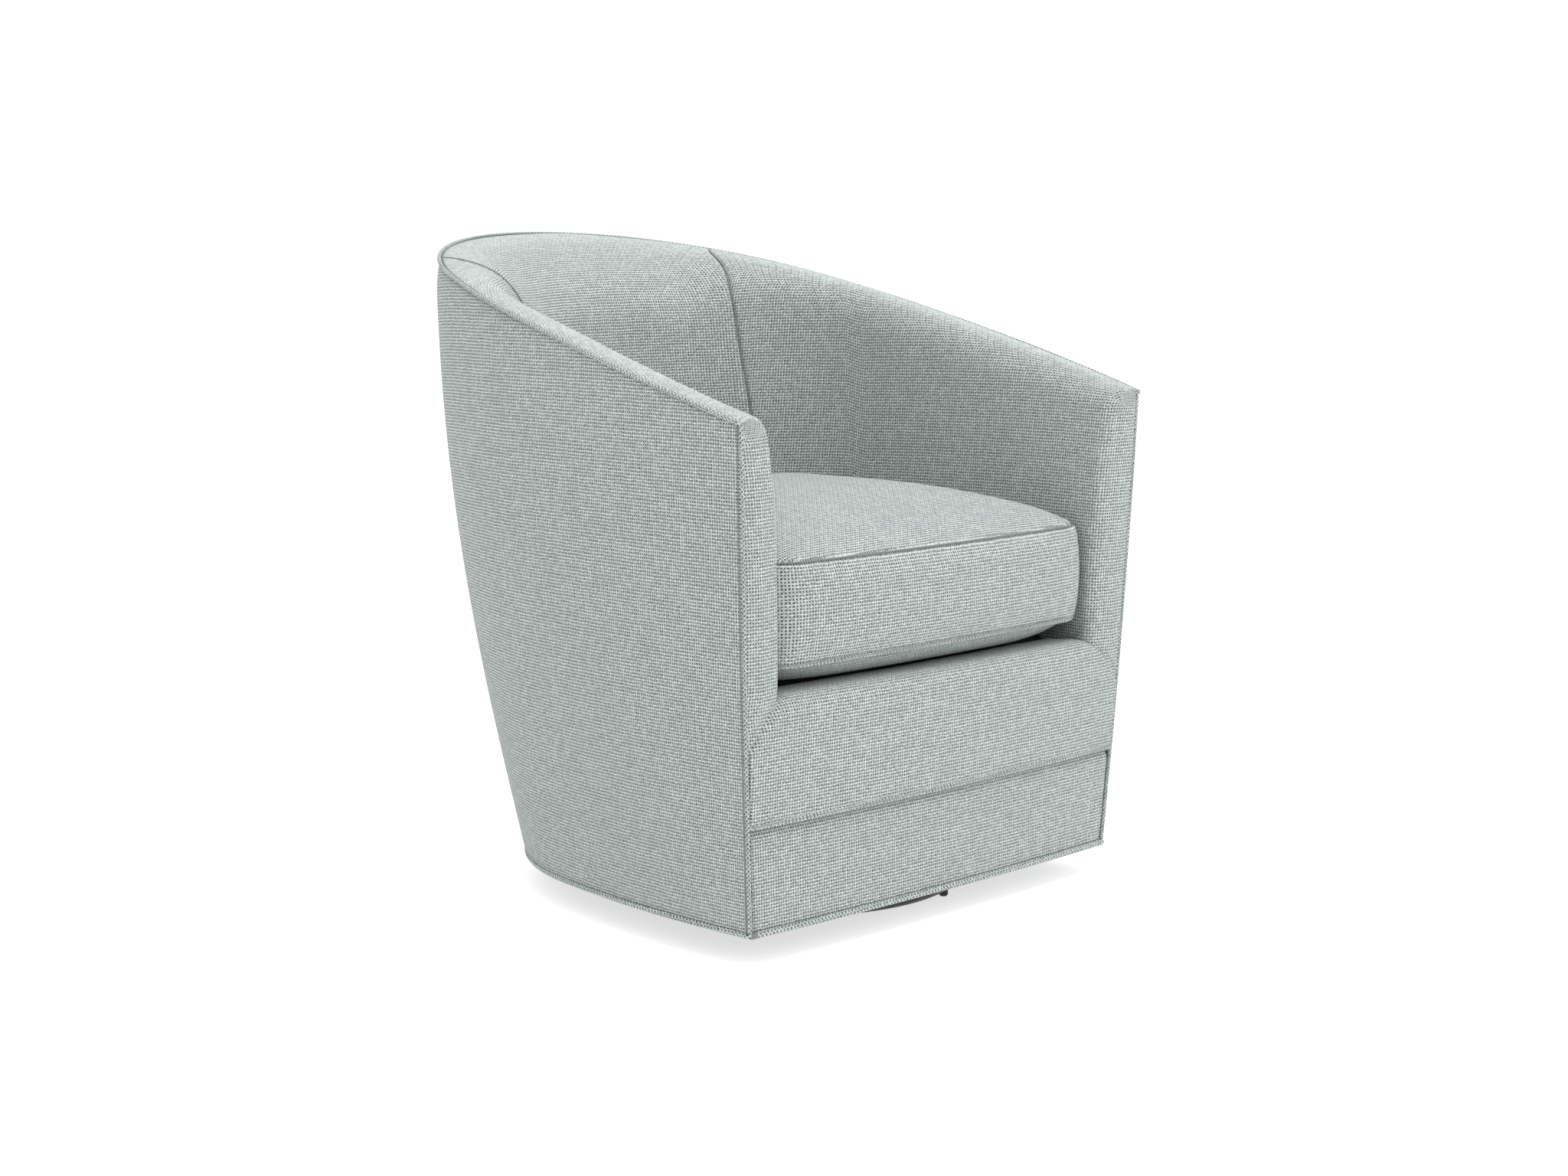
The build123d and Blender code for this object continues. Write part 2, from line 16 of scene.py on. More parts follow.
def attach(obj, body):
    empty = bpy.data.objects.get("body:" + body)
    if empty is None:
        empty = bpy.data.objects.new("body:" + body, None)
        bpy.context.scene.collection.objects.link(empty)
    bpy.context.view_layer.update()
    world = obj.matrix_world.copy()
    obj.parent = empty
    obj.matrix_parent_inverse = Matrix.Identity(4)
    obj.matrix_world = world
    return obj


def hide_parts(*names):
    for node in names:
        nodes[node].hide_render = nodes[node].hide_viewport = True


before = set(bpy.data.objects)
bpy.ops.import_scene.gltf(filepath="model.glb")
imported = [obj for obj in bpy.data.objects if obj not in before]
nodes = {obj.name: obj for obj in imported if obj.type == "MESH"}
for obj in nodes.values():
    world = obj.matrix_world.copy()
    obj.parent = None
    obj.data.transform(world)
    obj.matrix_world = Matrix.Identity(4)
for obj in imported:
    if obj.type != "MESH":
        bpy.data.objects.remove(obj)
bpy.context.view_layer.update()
scene = bpy.context.scene

# %% [markdown]
# ## The camera
# A camera is easier to match before anything is modelled, because every later picture can then be
# held against the photograph. Azimuth, height and distance come from the chair's mirrored corners.

# %% Camera
view_azimuth = math.radians(-44.44)
view_elevation = math.radians(8.39)
view_distance = 3.1624
view_target = Vector((0.0, -0.0946, 0.3584))
photo_width = 2048.0
photo_focal = 3400.0
photo_centre_x = 1019.86

back_x = math.sin(view_azimuth) * math.cos(view_elevation)
back_y = -math.cos(view_azimuth) * math.cos(view_elevation)
camera = bpy.data.objects.new("camera", bpy.data.cameras.new("camera"))
scene.collection.objects.link(camera)
camera.location = view_target + Vector((back_x, back_y, math.sin(view_elevation))) * view_distance
camera.rotation_euler = (math.pi / 2 - view_elevation, 0, view_azimuth)
camera.data.sensor_width = 36.0
camera.data.lens = camera.data.sensor_width * photo_focal / photo_width
camera.data.shift_x = 0.5 - photo_centre_x / photo_width
camera.data.clip_end = 60.0
scene.camera = camera
print("camera at", [round(x, 3) for x in camera.location], "lens", round(camera.data.lens, 2))

# %% [markdown]
# ## Light and floor
# The chair was lit like a catalogue picture: a white room all round, a little more light from above
# and from the front. A white world gives the even part, and large area lamps the rest. The floor is
# a light table, a pale sheet that glows a little, which keeps the shadow under the chair soft.

# %% Light and floor
def colour(code):
    """An sRGB hex value as linear red, green and blue, with alpha."""
    parts = [int(code[i : i + 2], 16) / 255 for i in (1, 3, 5)]
    return [p / 12.92 if p <= 0.04045 else ((p + 0.055) / 1.055) ** 2.4 for p in parts] + [1.0]


def add(tree, kind, settings=None, inputs=None):
    """Adds a node, sets its properties, and fills or links its inputs by name or number."""
    node = tree.nodes.new(kind)
    for key, value in (settings or {}).items():
        setattr(node, key, value)
    for key, value in (inputs or {}).items():
        if isinstance(value, bpy.types.NodeSocket):
            tree.links.new(value, node.inputs[key])
        else:
            node.inputs[key].default_value = value
    return node


def lamp(name, place, target, size, power):
    """A square area lamp that points from its place to a target."""
    data = bpy.data.lights.new(name, "AREA")
    data.size = size
    data.energy = power
    made = bpy.data.objects.new(name, data)
    scene.collection.objects.link(made)
    made.location = place
    made.rotation_euler = (Vector(target) - Vector(place)).to_track_quat("-Z", "Y").to_euler()


room_strength = 1.03
world = bpy.data.worlds.new("white room")
world.use_nodes = True
world.node_tree.nodes["Background"].inputs["Color"].default_value = colour("#FFFFFF")
world.node_tree.nodes["Background"].inputs["Strength"].default_value = room_strength
scene.world = world
scene.view_settings.view_transform = "Standard"
lamp("ceiling lamp", (0.3, -0.6, 3.2), (0.0, -0.1, 0.4), size=2.4, power=52.0)
lamp("front lamp", (1.8, -3.2, 1.9), (0.0, -0.2, 0.4), size=2.0, power=26.0)

floor_size = 14.0
floor_mesh = bpy.data.meshes.new("floor")
floor_corners = [(x * floor_size, y * floor_size, 0.0) for x, y in ((-1, -1), (1, -1), (1, 1), (-1, 1))]
floor_mesh.from_pydata(floor_corners, [], [(0, 1, 2, 3)])
floor = bpy.data.objects.new("floor", floor_mesh)
scene.collection.objects.link(floor)
# Opal acrylic scatters light, so it looks matt and even, and glows where it is lit from below
floor_paint = bpy.data.materials.new("opal acrylic light table")
floor_paint.use_nodes = True
floor_shader = floor_paint.node_tree.nodes["Principled BSDF"]
floor_shader.inputs["Base Color"].default_value = colour("#CACACA")
floor_shader.inputs["Roughness"].default_value = 0.9
floor_shader.inputs["Emission Color"].default_value = colour("#FFFFFF")
floor_shader.inputs["Emission Strength"].default_value = 0.65
floor.data.materials.append(floor_paint)

# %% [markdown]
# ## The cloth's finish
# The cover is a slub cloth: pale yarns in an open weave over a darker blue-green ground that shows in
# the gaps, and the gaps are painted darker still with the shade that falls into them. A slub yarn swells
# and thins, so some runs of it stand out. A picture of cloth would tile, so the yarns are worked out
# instead: each row and column has its number, the number seeds its tones and swellings, and a cosine
# takes each yarn over and under its neighbours.
# The pattern lies on a UV map in metres, so the yarns keep their size on every piece.

# %% Slub cloth
warp_pitch, weft_pitch = 0.00357, 0.00375
yarn_wander = 0.0009
wander_size = 0.025
patch_size = 0.009
fibre_size = 0.0012
yarn_relief = 0.0008
yarn_swing = 0.16
# Nearly all values of a noise lie between these two
noise_low, noise_high = 0.3, 0.7
# Runs are counted in crossings: how far one tone lasts, and how long a slub is
warp = {"across": 0, "along": 1, "side": 1.0, "level": 1.0, "edge": 0.18}
warp.update({"run": 1.6, "slub": 8.0, "spread": 0.21})
weft = {"across": 1, "along": 0, "side": -1.0, "level": 0.83, "edge": 0.21}
weft.update({"run": 2.0, "slub": 13.0, "spread": 0.23})


def slub_cloth(name):
    """Woven polyester and viscose: dull, with a faint sheen from loose fibre ends."""
    made = bpy.data.materials.new(name)
    made.use_nodes = True
    tree = made.node_tree
    shader = tree.nodes["Principled BSDF"]
    cloth = add(tree, "ShaderNodeUVMap", {"uv_map": "UVMap"}).outputs["UV"]
    flat_noise = {"noise_dimensions": "2D"}
    wander = add(tree, "ShaderNodeTexNoise", flat_noise, {"Vector": cloth, "Scale": 1 / wander_size})
    shift = add(
        tree,
        "ShaderNodeVectorMath",
        {"operation": "SCALE"},
        {0: wander.outputs["Color"], "Scale": yarn_wander / warp_pitch},
    ).outputs[0]
    yarns = add(
        tree,
        "ShaderNodeVectorMath",
        {"operation": "MULTIPLY_ADD"},
        {0: cloth, 1: (1 / warp_pitch, 1 / weft_pitch, 0.0), 2: shift},
    ).outputs[0]
    cell = add(tree, "ShaderNodeVectorMath", {"operation": "FLOOR"}, {0: yarns}).outputs[0]
    spot = add(tree, "ShaderNodeSeparateXYZ", None, {0: yarns}).outputs
    count = add(tree, "ShaderNodeSeparateXYZ", None, {0: cell}).outputs

    # Height and tone of each yarn, warp first
    heights, tones = [], []
    times = {"operation": "MULTIPLY"}
    sum_up = {"operation": "MULTIPLY_ADD"}
    soft_step = {"interpolation_type": "SMOOTHSTEP"}
    for yarn in (warp, weft):
        number, distance = count[yarn["across"]], spot[yarn["along"]]
        seed = add(tree, "ShaderNodeMath", sum_up, {0: number, 1: 5.37, 2: 40.0 * yarn["across"]}).outputs[0]
        run = add(tree, "ShaderNodeMath", times, {0: distance, 1: 1 / yarn["run"]}).outputs[0]
        staggered = add(tree, "ShaderNodeMath", sum_up, {0: number, 1: 0.37, 2: run}).outputs[0]
        dash = add(tree, "ShaderNodeCombineXYZ", None, {0: staggered, 1: seed}).outputs[0]
        dash_cell = add(tree, "ShaderNodeVectorMath", {"operation": "FLOOR"}, {0: dash}).outputs[0]
        chance = add(tree, "ShaderNodeTexWhiteNoise", flat_noise, {"Vector": dash_cell}).outputs["Value"]
        slub_run = add(tree, "ShaderNodeMath", times, {0: distance, 1: 1 / yarn["slub"]}).outputs[0]
        slub_place = add(tree, "ShaderNodeCombineXYZ", None, {0: slub_run, 1: seed}).outputs[0]
        slub_inputs = {"Vector": slub_place, "Scale": 1.0}
        swelling = add(tree, "ShaderNodeTexNoise", flat_noise, slub_inputs).outputs[0]
        slub = add(
            tree,
            "ShaderNodeMapRange",
            soft_step,
            {"Value": swelling, "From Min": 0.5, "From Max": 0.72, "To Max": 0.09},
        ).outputs[0]
        # About a third of the runs are paler, and each run lies a little to one side of its row
        ivory = add(
            tree,
            "ShaderNodeMapRange",
            soft_step,
            {"Value": chance, "From Min": 0.45, "From Max": 0.8, "To Max": yarn["spread"]},
        ).outputs[0]
        tones.append(add(tree, "ShaderNodeMath", {"operation": "ADD"}, {0: ivory, 1: slub}).outputs[0])
        aside = {0: chance, 1: yarn_swing, 2: spot[yarn["across"]]}
        swung = add(tree, "ShaderNodeMath", sum_up, aside).outputs[0]
        middle = add(tree, "ShaderNodeMath", {"operation": "PINGPONG"}, {0: swung, 1: 0.5}).outputs[0]
        body = add(
            tree,
            "ShaderNodeMapRange",
            soft_step,
            {"Value": middle, "From Min": yarn["edge"], "From Max": yarn["edge"] + 0.14},
        ).outputs[0]
        turn = add(tree, "ShaderNodeMath", {"operation": "ADD"}, {0: distance, 1: number}).outputs[0]
        angle = add(tree, "ShaderNodeMath", sum_up, {0: turn, 1: math.pi, 2: -math.pi / 2}).outputs[0]
        wave = add(tree, "ShaderNodeMath", {"operation": "COSINE"}, {0: angle}).outputs[0]
        swing = {0: wave, 1: 0.235 * yarn["side"] * yarn["level"], 2: 0.765 * yarn["level"]}
        lift = add(tree, "ShaderNodeMath", sum_up, swing).outputs[0]
        heights.append(add(tree, "ShaderNodeMath", times, {0: body, 1: lift}).outputs[0])
    surface = add(tree, "ShaderNodeMath", {"operation": "MAXIMUM"}, {0: heights[0], 1: heights[1]}).outputs[0]
    weft_on_top = add(
        tree, "ShaderNodeMath", {"operation": "GREATER_THAN"}, {0: heights[1], 1: heights[0]}
    ).outputs[0]

    # Colour: yarns by their tones, and each gap by its own number and its neighbourhood
    blend = {"data_type": "RGBA"}
    warp_tint = add(
        tree, "ShaderNodeMix", blend, {0: tones[0], 6: colour("#9EA5A4"), 7: colour("#F6F7F3")}
    ).outputs[2]
    weft_tint = add(
        tree, "ShaderNodeMix", blend, {0: tones[1], 6: colour("#B4BAB9"), 7: colour("#F6F7F3")}
    ).outputs[2]
    yarn_tint = add(tree, "ShaderNodeMix", blend, {0: weft_on_top, 6: warp_tint, 7: weft_tint}).outputs[2]
    dice = add(tree, "ShaderNodeTexWhiteNoise", flat_noise, {"Vector": cell}).outputs["Value"]
    patch = add(tree, "ShaderNodeTexNoise", flat_noise, {"Vector": cloth, "Scale": 1 / patch_size}).outputs[0]
    gap = add(tree, "ShaderNodeMath", sum_up, {0: patch, 1: 0.16, 2: dice}).outputs[0]
    gap_tone = add(
        tree, "ShaderNodeMapRange", None, {"Value": gap, "From Min": -0.3, "From Max": 1.5}
    ).outputs[0]
    # Gap tint: the darker blue-green ground, with painted shade that takes its dark end near black
    gap_tint = add(
        tree, "ShaderNodeMix", blend, {0: gap_tone, 6: colour("#121A19"), 7: colour("#7C8785")}
    ).outputs[2]
    cover = add(
        tree, "ShaderNodeMapRange", soft_step, {"Value": surface, "From Min": 0.1, "From Max": 0.7}
    ).outputs[0]
    # The attribute read here shuts the gaps: by the seams, and over the pads' top edge as painted sheen
    shut_gaps = add(tree, "ShaderNodeAttribute", {"attribute_name": "shut_gaps"}).outputs["Fac"]
    closed = add(tree, "ShaderNodeMath", {"operation": "MAXIMUM"}, {0: cover, 1: shut_gaps}).outputs[0]
    weave = add(tree, "ShaderNodeMix", blend, {0: closed, 6: gap_tint, 7: yarn_tint}).outputs[2]
    fibre = add(tree, "ShaderNodeTexNoise", flat_noise, {"Vector": cloth, "Scale": 1 / fibre_size}).outputs[0]
    shade = add(
        tree,
        "ShaderNodeMapRange",
        None,
        {"Value": fibre, "From Min": noise_low, "From Max": noise_high, "To Min": 0.95, "To Max": 1.05},
    ).outputs[0]
    tint = add(tree, "ShaderNodeVectorMath", {"operation": "SCALE"}, {0: weave, "Scale": shade}).outputs[0]
    tree.links.new(tint, shader.inputs["Base Color"])
    relief = add(tree, "ShaderNodeMath", sum_up, {0: fibre, 1: 0.25, 2: surface}).outputs[0]
    bump = add(tree, "ShaderNodeBump", None, {"Strength": 0.8, "Distance": yarn_relief, "Height": relief})
    tree.links.new(bump.outputs[0], shader.inputs["Normal"])
    shader.inputs["Roughness"].default_value = 0.92
    shader.inputs["Specular IOR Level"].default_value = 0.2
    shader.inputs["Sheen Weight"].default_value = 0.12
    shader.inputs["Sheen Roughness"].default_value = 0.4
    return made


fabric = slub_cloth("woven slub upholstery cloth")
print(fabric.name, len(fabric.node_tree.nodes), "nodes")

# %% [markdown]
# ## Finishes of the hidden and hard pieces
# Most of these show only from below or with the cushion out: powder-coated steel, zinc-plated steel,
# beech, plywood, fibreboard, plastics, webbing and black cloth. Each is a noise of one grain size,
# stretched along the grain, between a dark and a light tone. A grain finer than a millimetre is drawn
# about a millimetre wide, because the render would lose it.

# %% Finish from a grain
gloss_spread = 0.08


def grain_finish(name, dark, light, roughness, grain, stretch=(1, 1, 1), metallic=0.0, relief=0.0002):
    """A material whose tone and relief follow a noise of one grain size, stretched by the given shares."""
    made = bpy.data.materials.new(name)
    made.use_nodes = True
    tree = made.node_tree
    shader = tree.nodes["Principled BSDF"]
    place = add(tree, "ShaderNodeTexCoord").outputs["Object"]
    grid = tuple(1 / (grain * share) for share in stretch)
    laid = add(tree, "ShaderNodeVectorMath", {"operation": "MULTIPLY"}, {0: place, 1: grid}).outputs[0]
    flecks = add(tree, "ShaderNodeTexNoise", None, {"Vector": laid, "Scale": 1.0, "Detail": 4.0}).outputs[0]
    tone = add(
        tree, "ShaderNodeMapRange", None, {"Value": flecks, "From Min": noise_low, "From Max": noise_high}
    ).outputs[0]
    mix = add(tree, "ShaderNodeMix", {"data_type": "RGBA"}, {0: tone, 6: colour(dark), 7: colour(light)})
    tree.links.new(mix.outputs[2], shader.inputs["Base Color"])
    bump = add(tree, "ShaderNodeBump", None, {"Strength": 0.4, "Distance": relief, "Height": flecks})
    tree.links.new(bump.outputs[0], shader.inputs["Normal"])
    rough = add(
        tree,
        "ShaderNodeMapRange",
        None,
        {"Value": flecks, "To Min": roughness - gloss_spread, "To Max": roughness + gloss_spread},
    ).outputs[0]
    tree.links.new(rough, shader.inputs["Roughness"])
    shader.inputs["Metallic"].default_value = metallic
    return made


# Powder coat: near black and half matt, with a fine orange peel
black_steel = grain_finish("black powder-coated steel", "#0A0A0B", "#161617", 0.45, 0.0012, relief=0.00008)
# Zinc plate: a grey metal that is a little dull, in soft patches
zinc_steel = grain_finish(
    "zinc-plated steel", "#9A9D9F", "#C3C5C6", 0.38, 0.006, metallic=1.0, relief=0.00003
)
# Bearing steel: polished, so it mirrors what is round it
ball_steel = grain_finish(
    "polished bearing steel", "#B4B6B8", "#CDCFD0", 0.18, 0.004, metallic=1.0, relief=0.00001
)
# Sawn beech: a matt warm tan, with streaks along its grain
beech_up = grain_finish("sawn beech, grain upright", "#B98A5C", "#D9B384", 0.62, 0.0025, (1, 1, 22))
beech_across = grain_finish("sawn beech, grain across", "#B98A5C", "#D9B384", 0.62, 0.0025, (22, 1, 1))
beech_along = grain_finish("sawn beech, grain along", "#B98A5C", "#D9B384", 0.62, 0.0025, (1, 22, 1))
# Birch plywood: pale, with the long streaks of a peeled veneer
birch_ply = grain_finish("birch plywood", "#C7A477", "#DCC49B", 0.6, 0.003, (24, 2, 1))
# Fibreboard: brown and dull, with no direction in its fibres
fibreboard = grain_finish("brown fibreboard", "#6E5B49", "#8A7763", 0.85, 0.0016)
# Acetal: off-white and waxy
cage_plastic = grain_finish("natural acetal", "#D8D5CB", "#E6E4DC", 0.35, 0.003, relief=0.00002)
# Moulded nylon: black with a soft gloss
glide_plastic = grain_finish("black nylon", "#111112", "#1D1D1E", 0.5, 0.002, relief=0.00004)
# Webbing: rough tan jute
jute_web = grain_finish("jute and rubber webbing", "#8B7048", "#B79B6C", 0.85, 0.0016, relief=0.0005)
# Spunbond: black and matt, with specks where its fibres were pressed together
nonwoven = grain_finish("black spunbond dust cloth", "#101011", "#26262A", 0.9, 0.0012, relief=0.0003)
# Twill: black and matt, with fine ribs
deck_cloth = grain_finish(
    "black twill deck cloth", "#141515", "#2B2D2D", 0.92, 0.0011, (3, 1, 1), relief=0.0004
)
# Seam shade: a grey darker than the cloth's yarns, for thin cords that paint the shade in the seams and by
# the welts
painted_seam_shade = grain_finish("dark cord painted as seam shade", "#6C7572", "#7E8784", 0.8, 0.0008, relief=0.0001)
# Zip of nylon: grey, with a little shine on its coils
zip_plastic = grain_finish("grey nylon zip", "#7C8583", "#98A09E", 0.6, 0.0012, relief=0.0001)
print(len(bpy.data.materials), "materials")

# %% [markdown]
# ## The tub's plan
# The tub is one curve at every height: arcs from the back centre to the shoulder, the side and the
# front corner, each tangent to the last. The part's own skin is repeated from its sizes, and the cloth
# has a skin of its own that lies a little outside it, because padding pushes the cover out.
# A place on the plan is u: 0 at the back, 1 shoulder, 2 side, 3 front corner, and less than 0 on the left.

# %% Plan of the tub
skirt_gap = 0.032
flare_height = 0.750
foot = np.array([(0.0, 0.228), (0.233, 0.114), (0.293, -0.025), (0.303, -0.356)])
part_skin = (
    np.array([(0.0, 0.145), (0.049, 0.068), (0.029, 0.055), (0.036, -0.023)]),
    np.array([(1.2, 1.2), (0.9, 1.2), (0.9, 1.2), (0.5, 0.5)]),
)
cloth_skin = (
    np.array([(0.0, 0.149), (0.0533, 0.0723), (0.032, 0.057), (0.037, -0.023)]),
    np.array([(1.2, 1.2), (0.9, 1.2), (0.9, 1.2), (0.5, 0.5)]),
)
arm_top, back_top, top_bulge = 0.596, 0.783, 0.005
deck_top = 0.298
seat_walls = np.array([0.174, 0.112, 0.068, 0.046])
top_walls = np.array([0.142, 0.078, 0.050, 0.036])
arm_wall_z = [0.235, 0.300, 0.394, 0.450, 0.535, 0.577, 0.620]
arm_wall_x = [0.2595, 0.261, 0.264, 0.2665, 0.2755, 0.2835, 0.2925]
arm_wall = np.polynomial.Polynomial.fit(arm_wall_z, arm_wall_x, 3)


def skin_marks(z, skin):
    """Back centre, shoulder, side and front corner of a skin at each height."""
    flare, belly = skin
    share = ((np.asarray(z, float) - skirt_gap) / flare_height)[..., None, None]
    return foot + flare * share * (1 + belly * (1 - share))


def headings(marks):
    """Direction of the chain of arcs at each mark, which starts along +X."""
    found = [np.broadcast_to(np.array([1.0, 0.0]), marks[..., 0, :].shape)]
    for i in range(marks.shape[-2] - 1):
        chord = marks[..., i + 1, :] - marks[..., i, :]
        chord = chord / np.linalg.norm(chord, axis=-1, keepdims=True)
        found.append(2 * (found[-1] * chord).sum(-1, keepdims=True) * chord - found[-1])
    return np.stack(found, -2)


def along(marks, u):
    """Places on the chain of arcs, and the directions there."""
    u = np.asarray(u, float)
    shape = np.broadcast_shapes(u.shape, marks.shape[:-2])
    u = np.broadcast_to(u, shape)
    first = np.clip(np.abs(u).astype(int), 0, 2)
    share = (np.abs(u) - first)[..., None]
    pick = np.broadcast_to(first[..., None, None], shape + (1, 2))
    marks = np.broadcast_to(marks, shape + marks.shape[-2:])
    start = np.take_along_axis(marks, pick, -2)[..., 0, :]
    end = np.take_along_axis(marks, pick + 1, -2)[..., 0, :]
    heading = np.take_along_axis(headings(marks), pick, -2)[..., 0, :]
    chord = end - start
    length = np.linalg.norm(chord, axis=-1, keepdims=True)
    cross = heading[..., :1] * chord[..., 1:] - heading[..., 1:] * chord[..., :1]
    bend = np.arctan2(cross, (heading * chord).sum(-1, keepdims=True))
    bend = np.where(np.abs(bend) < 1e-6, 1e-6, bend)
    side = np.where(u < 0, -1.0, 1.0)

    def turned(angle):
        x = heading[..., :1] * np.cos(angle) - heading[..., 1:] * np.sin(angle)
        y = heading[..., :1] * np.sin(angle) + heading[..., 1:] * np.cos(angle)
        return np.concatenate([x, y], -1)

    place = start + length * np.sin(bend * share) / np.sin(bend) * turned(bend * share)
    way = turned(2 * bend * share)
    place[..., 0] *= side
    way[..., 0] *= side
    return place, way


def cavity_marks(z, extra=0.0):
    """The same marks of the tub's inside, moved further in by an extra amount."""
    z = np.asarray(z, float)
    marks = skin_marks(z, part_skin)
    way = headings(marks)
    share = ((z - deck_top) / (skirt_gap + flare_height - deck_top))[..., None]
    wall = seat_walls + (top_walls - seat_walls) * share + extra
    inner = marks + np.stack([way[..., 1], -way[..., 0]], -1) * wall[..., None]
    inner[..., 3, 0] = arm_wall(z) - extra
    inner[..., 3, 1] = marks[..., 3, 1]
    return inner


edge_front_y = skin_marks(arm_top, part_skin)[3, 1]
edge_back_y = skin_marks(back_top, part_skin)[0, 1]


def top_height(u):
    """Height of the top edge at a place on the plan: a shallow arc from the arm fronts to the back."""
    z = np.full(np.shape(u), 0.7)
    for _ in range(12):
        y = along(skin_marks(z, part_skin), u)[0][..., 1]
        share = (y - edge_front_y) / (edge_back_y - edge_front_y)
        z = arm_top + (back_top - arm_top) * share + 4 * top_bulge * share * (1 - share)
    return z


def ease(x, start, end):
    """Rises smoothly from 0 at start to 1 at end."""
    t = np.clip((np.asarray(x, float) - start) / (end - start), 0, 1)
    return t * t * (3 - 2 * t)


def spaced(*counts):
    """Values of u from 0 to 3 with a number of steps in each of the three arcs."""
    runs = [np.linspace(i, i + 1, n, endpoint=False) for i, n in enumerate(counts)]
    return np.concatenate(runs + [np.array([3.0])])


print("top edge", [round(float(z), 3) for z in top_height(np.array([0.0, 1.0, 2.0, 3.0]))])

# %% [markdown]
# ## From a grid to a sewn panel
# Every panel here is a grid of points with a UV map in metres. A small helper makes the mesh, turns
# its faces to the right side, merges points that meet at a pole, and adds thickness and subdivision.
# Padding is never quite even, so a second helper moves a surface in and out by about a millimetre.

# %% Panel helpers
def lengths(points, axis):
    """Length along a grid's rows or columns, from its first line."""
    steps = np.linalg.norm(np.diff(points, axis=axis), axis=-1)
    first = np.zeros_like(np.take(steps, [0], axis=axis))
    return np.cumsum(np.concatenate([first, steps], axis=axis), axis=axis)


def normals(points):
    """Unit normals of a grid: columns crossed with rows."""
    cross = np.cross(np.gradient(points, axis=1), np.gradient(points, axis=0))
    return cross / np.maximum(np.linalg.norm(cross, axis=-1, keepdims=True), 1e-12)


def unevenness(points, size, seed):
    """A smooth number between about -1 and 1 at each point, of one size of bump."""
    flat = points.reshape(-1, 3) / size + seed
    return np.array([noise.noise(Vector(p)) for p in flat]).reshape(points.shape[:-1])


def panel(name, points, uv, inner_side, material, thickness=0.0, smooth=1, wrap=False, shut_gaps=None):
    """A panel from a grid of points, with its faces turned away from the given inner side."""
    rows, columns = points.shape[:2]
    number = np.arange(rows * columns).reshape(rows, columns)
    after = np.roll(number, -1, axis=1) if wrap else number[:, 1:]
    here = number if wrap else number[:, :-1]
    faces = np.stack([here[:-1], after[:-1], after[1:], here[1:]], -1).reshape(-1, 4)
    flat = points.reshape(-1, 3)
    corners = flat[faces]
    facing = np.cross(corners[:, 2] - corners[:, 0], corners[:, 3] - corners[:, 1])
    away = corners.mean(1) - np.asarray(inner_side, float)
    if (facing * away).sum() < 0:
        faces = faces[:, ::-1]
    mesh = bpy.data.meshes.new(name)
    mesh.from_pydata(flat.tolist(), [], faces.tolist())
    layer = mesh.uv_layers.new(name="UVMap")
    layer.data.foreach_set("uv", uv.reshape(-1, 2)[faces.ravel()].ravel())
    if shut_gaps is not None:
        closed = mesh.attributes.new("shut_gaps", "FLOAT", "POINT")
        closed.data.foreach_set("value", np.broadcast_to(shut_gaps, (rows, columns)).ravel().astype(np.float32))
    return finished(name, mesh, material, thickness, smooth)


def finished(name, mesh, material, thickness=0.0, smooth=0):
    """An object from a mesh, with merged poles, smooth faces, thickness and subdivision."""
    work = bmesh.new()
    work.from_mesh(mesh)
    bmesh.ops.remove_doubles(work, verts=work.verts, dist=2e-5)
    bmesh.ops.dissolve_degenerate(work, edges=work.edges, dist=1e-6)
    work.to_mesh(mesh)
    work.free()
    mesh.shade_smooth()
    mesh.materials.append(material)
    made = bpy.data.objects.new(name, mesh)
    scene.collection.objects.link(made)
    if thickness:
        wall = made.modifiers.new("thickness", "SOLIDIFY")
        wall.thickness = thickness
        wall.offset = -1.0
    if smooth:
        rounding = made.modifiers.new("rounding", "SUBSURF")
        rounding.levels = smooth
        rounding.render_levels = smooth
    return made


# %% [markdown]
# ## The outside cover
# One width of cloth runs from front corner to front corner round the back, pulled tight over
# fibreboard and tucked under the top welt. It is a sheet, so it gets the thickness of cloth and a
# gentle tuck at its top, and its weave runs level.

# %% Outside cover
cover_low = 0.0403
cover_rows = 90
cover_thickness = 0.0012
tuck_height, welt_groove, groove_reach = 0.040, 0.0034, 0.003

half_u = spaced(54, 32, 68)
cover_u = np.concatenate([-half_u[:0:-1], half_u])
cover_top = top_height(cover_u) - 0.003
share = 1 - (1 - np.linspace(0, 1, cover_rows)[:, None]) ** 1.7
cover_z = cover_low + (cover_top - cover_low) * share
cover_grid_u = np.broadcast_to(cover_u, cover_z.shape)
place, way = along(skin_marks(cover_z, cloth_skin), cover_grid_u)
inward = np.stack([way[..., 1], -way[..., 0]], -1) * np.where(cover_u < 0, -1.0, 1.0)[None, :, None]
tucked = along(skin_marks(cover_z, part_skin), cover_grid_u)[0]
close_to_top = np.clip((cover_z - cover_top + tuck_height) / tuck_height, 0, 1) ** 2
place = place + (tucked - place) * close_to_top[..., None]
place = place + inward * (welt_groove * np.exp((cover_z - cover_top) / groove_reach))[..., None]
cover_points = np.concatenate([place, cover_z[..., None]], -1)
middle_run = lengths(cover_points, 1)[cover_rows // 2]
cover_uv = np.stack(
    [np.broadcast_to(middle_run, cover_z.shape), lengths(cover_points, 0)], -1
)
outside_cover = panel(
    "outside_cover_cloth", cover_points, cover_uv, (0, 0, 0.4), fabric, cover_thickness, smooth=0
)
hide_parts("outside_cover")
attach(outside_cover, "chair")

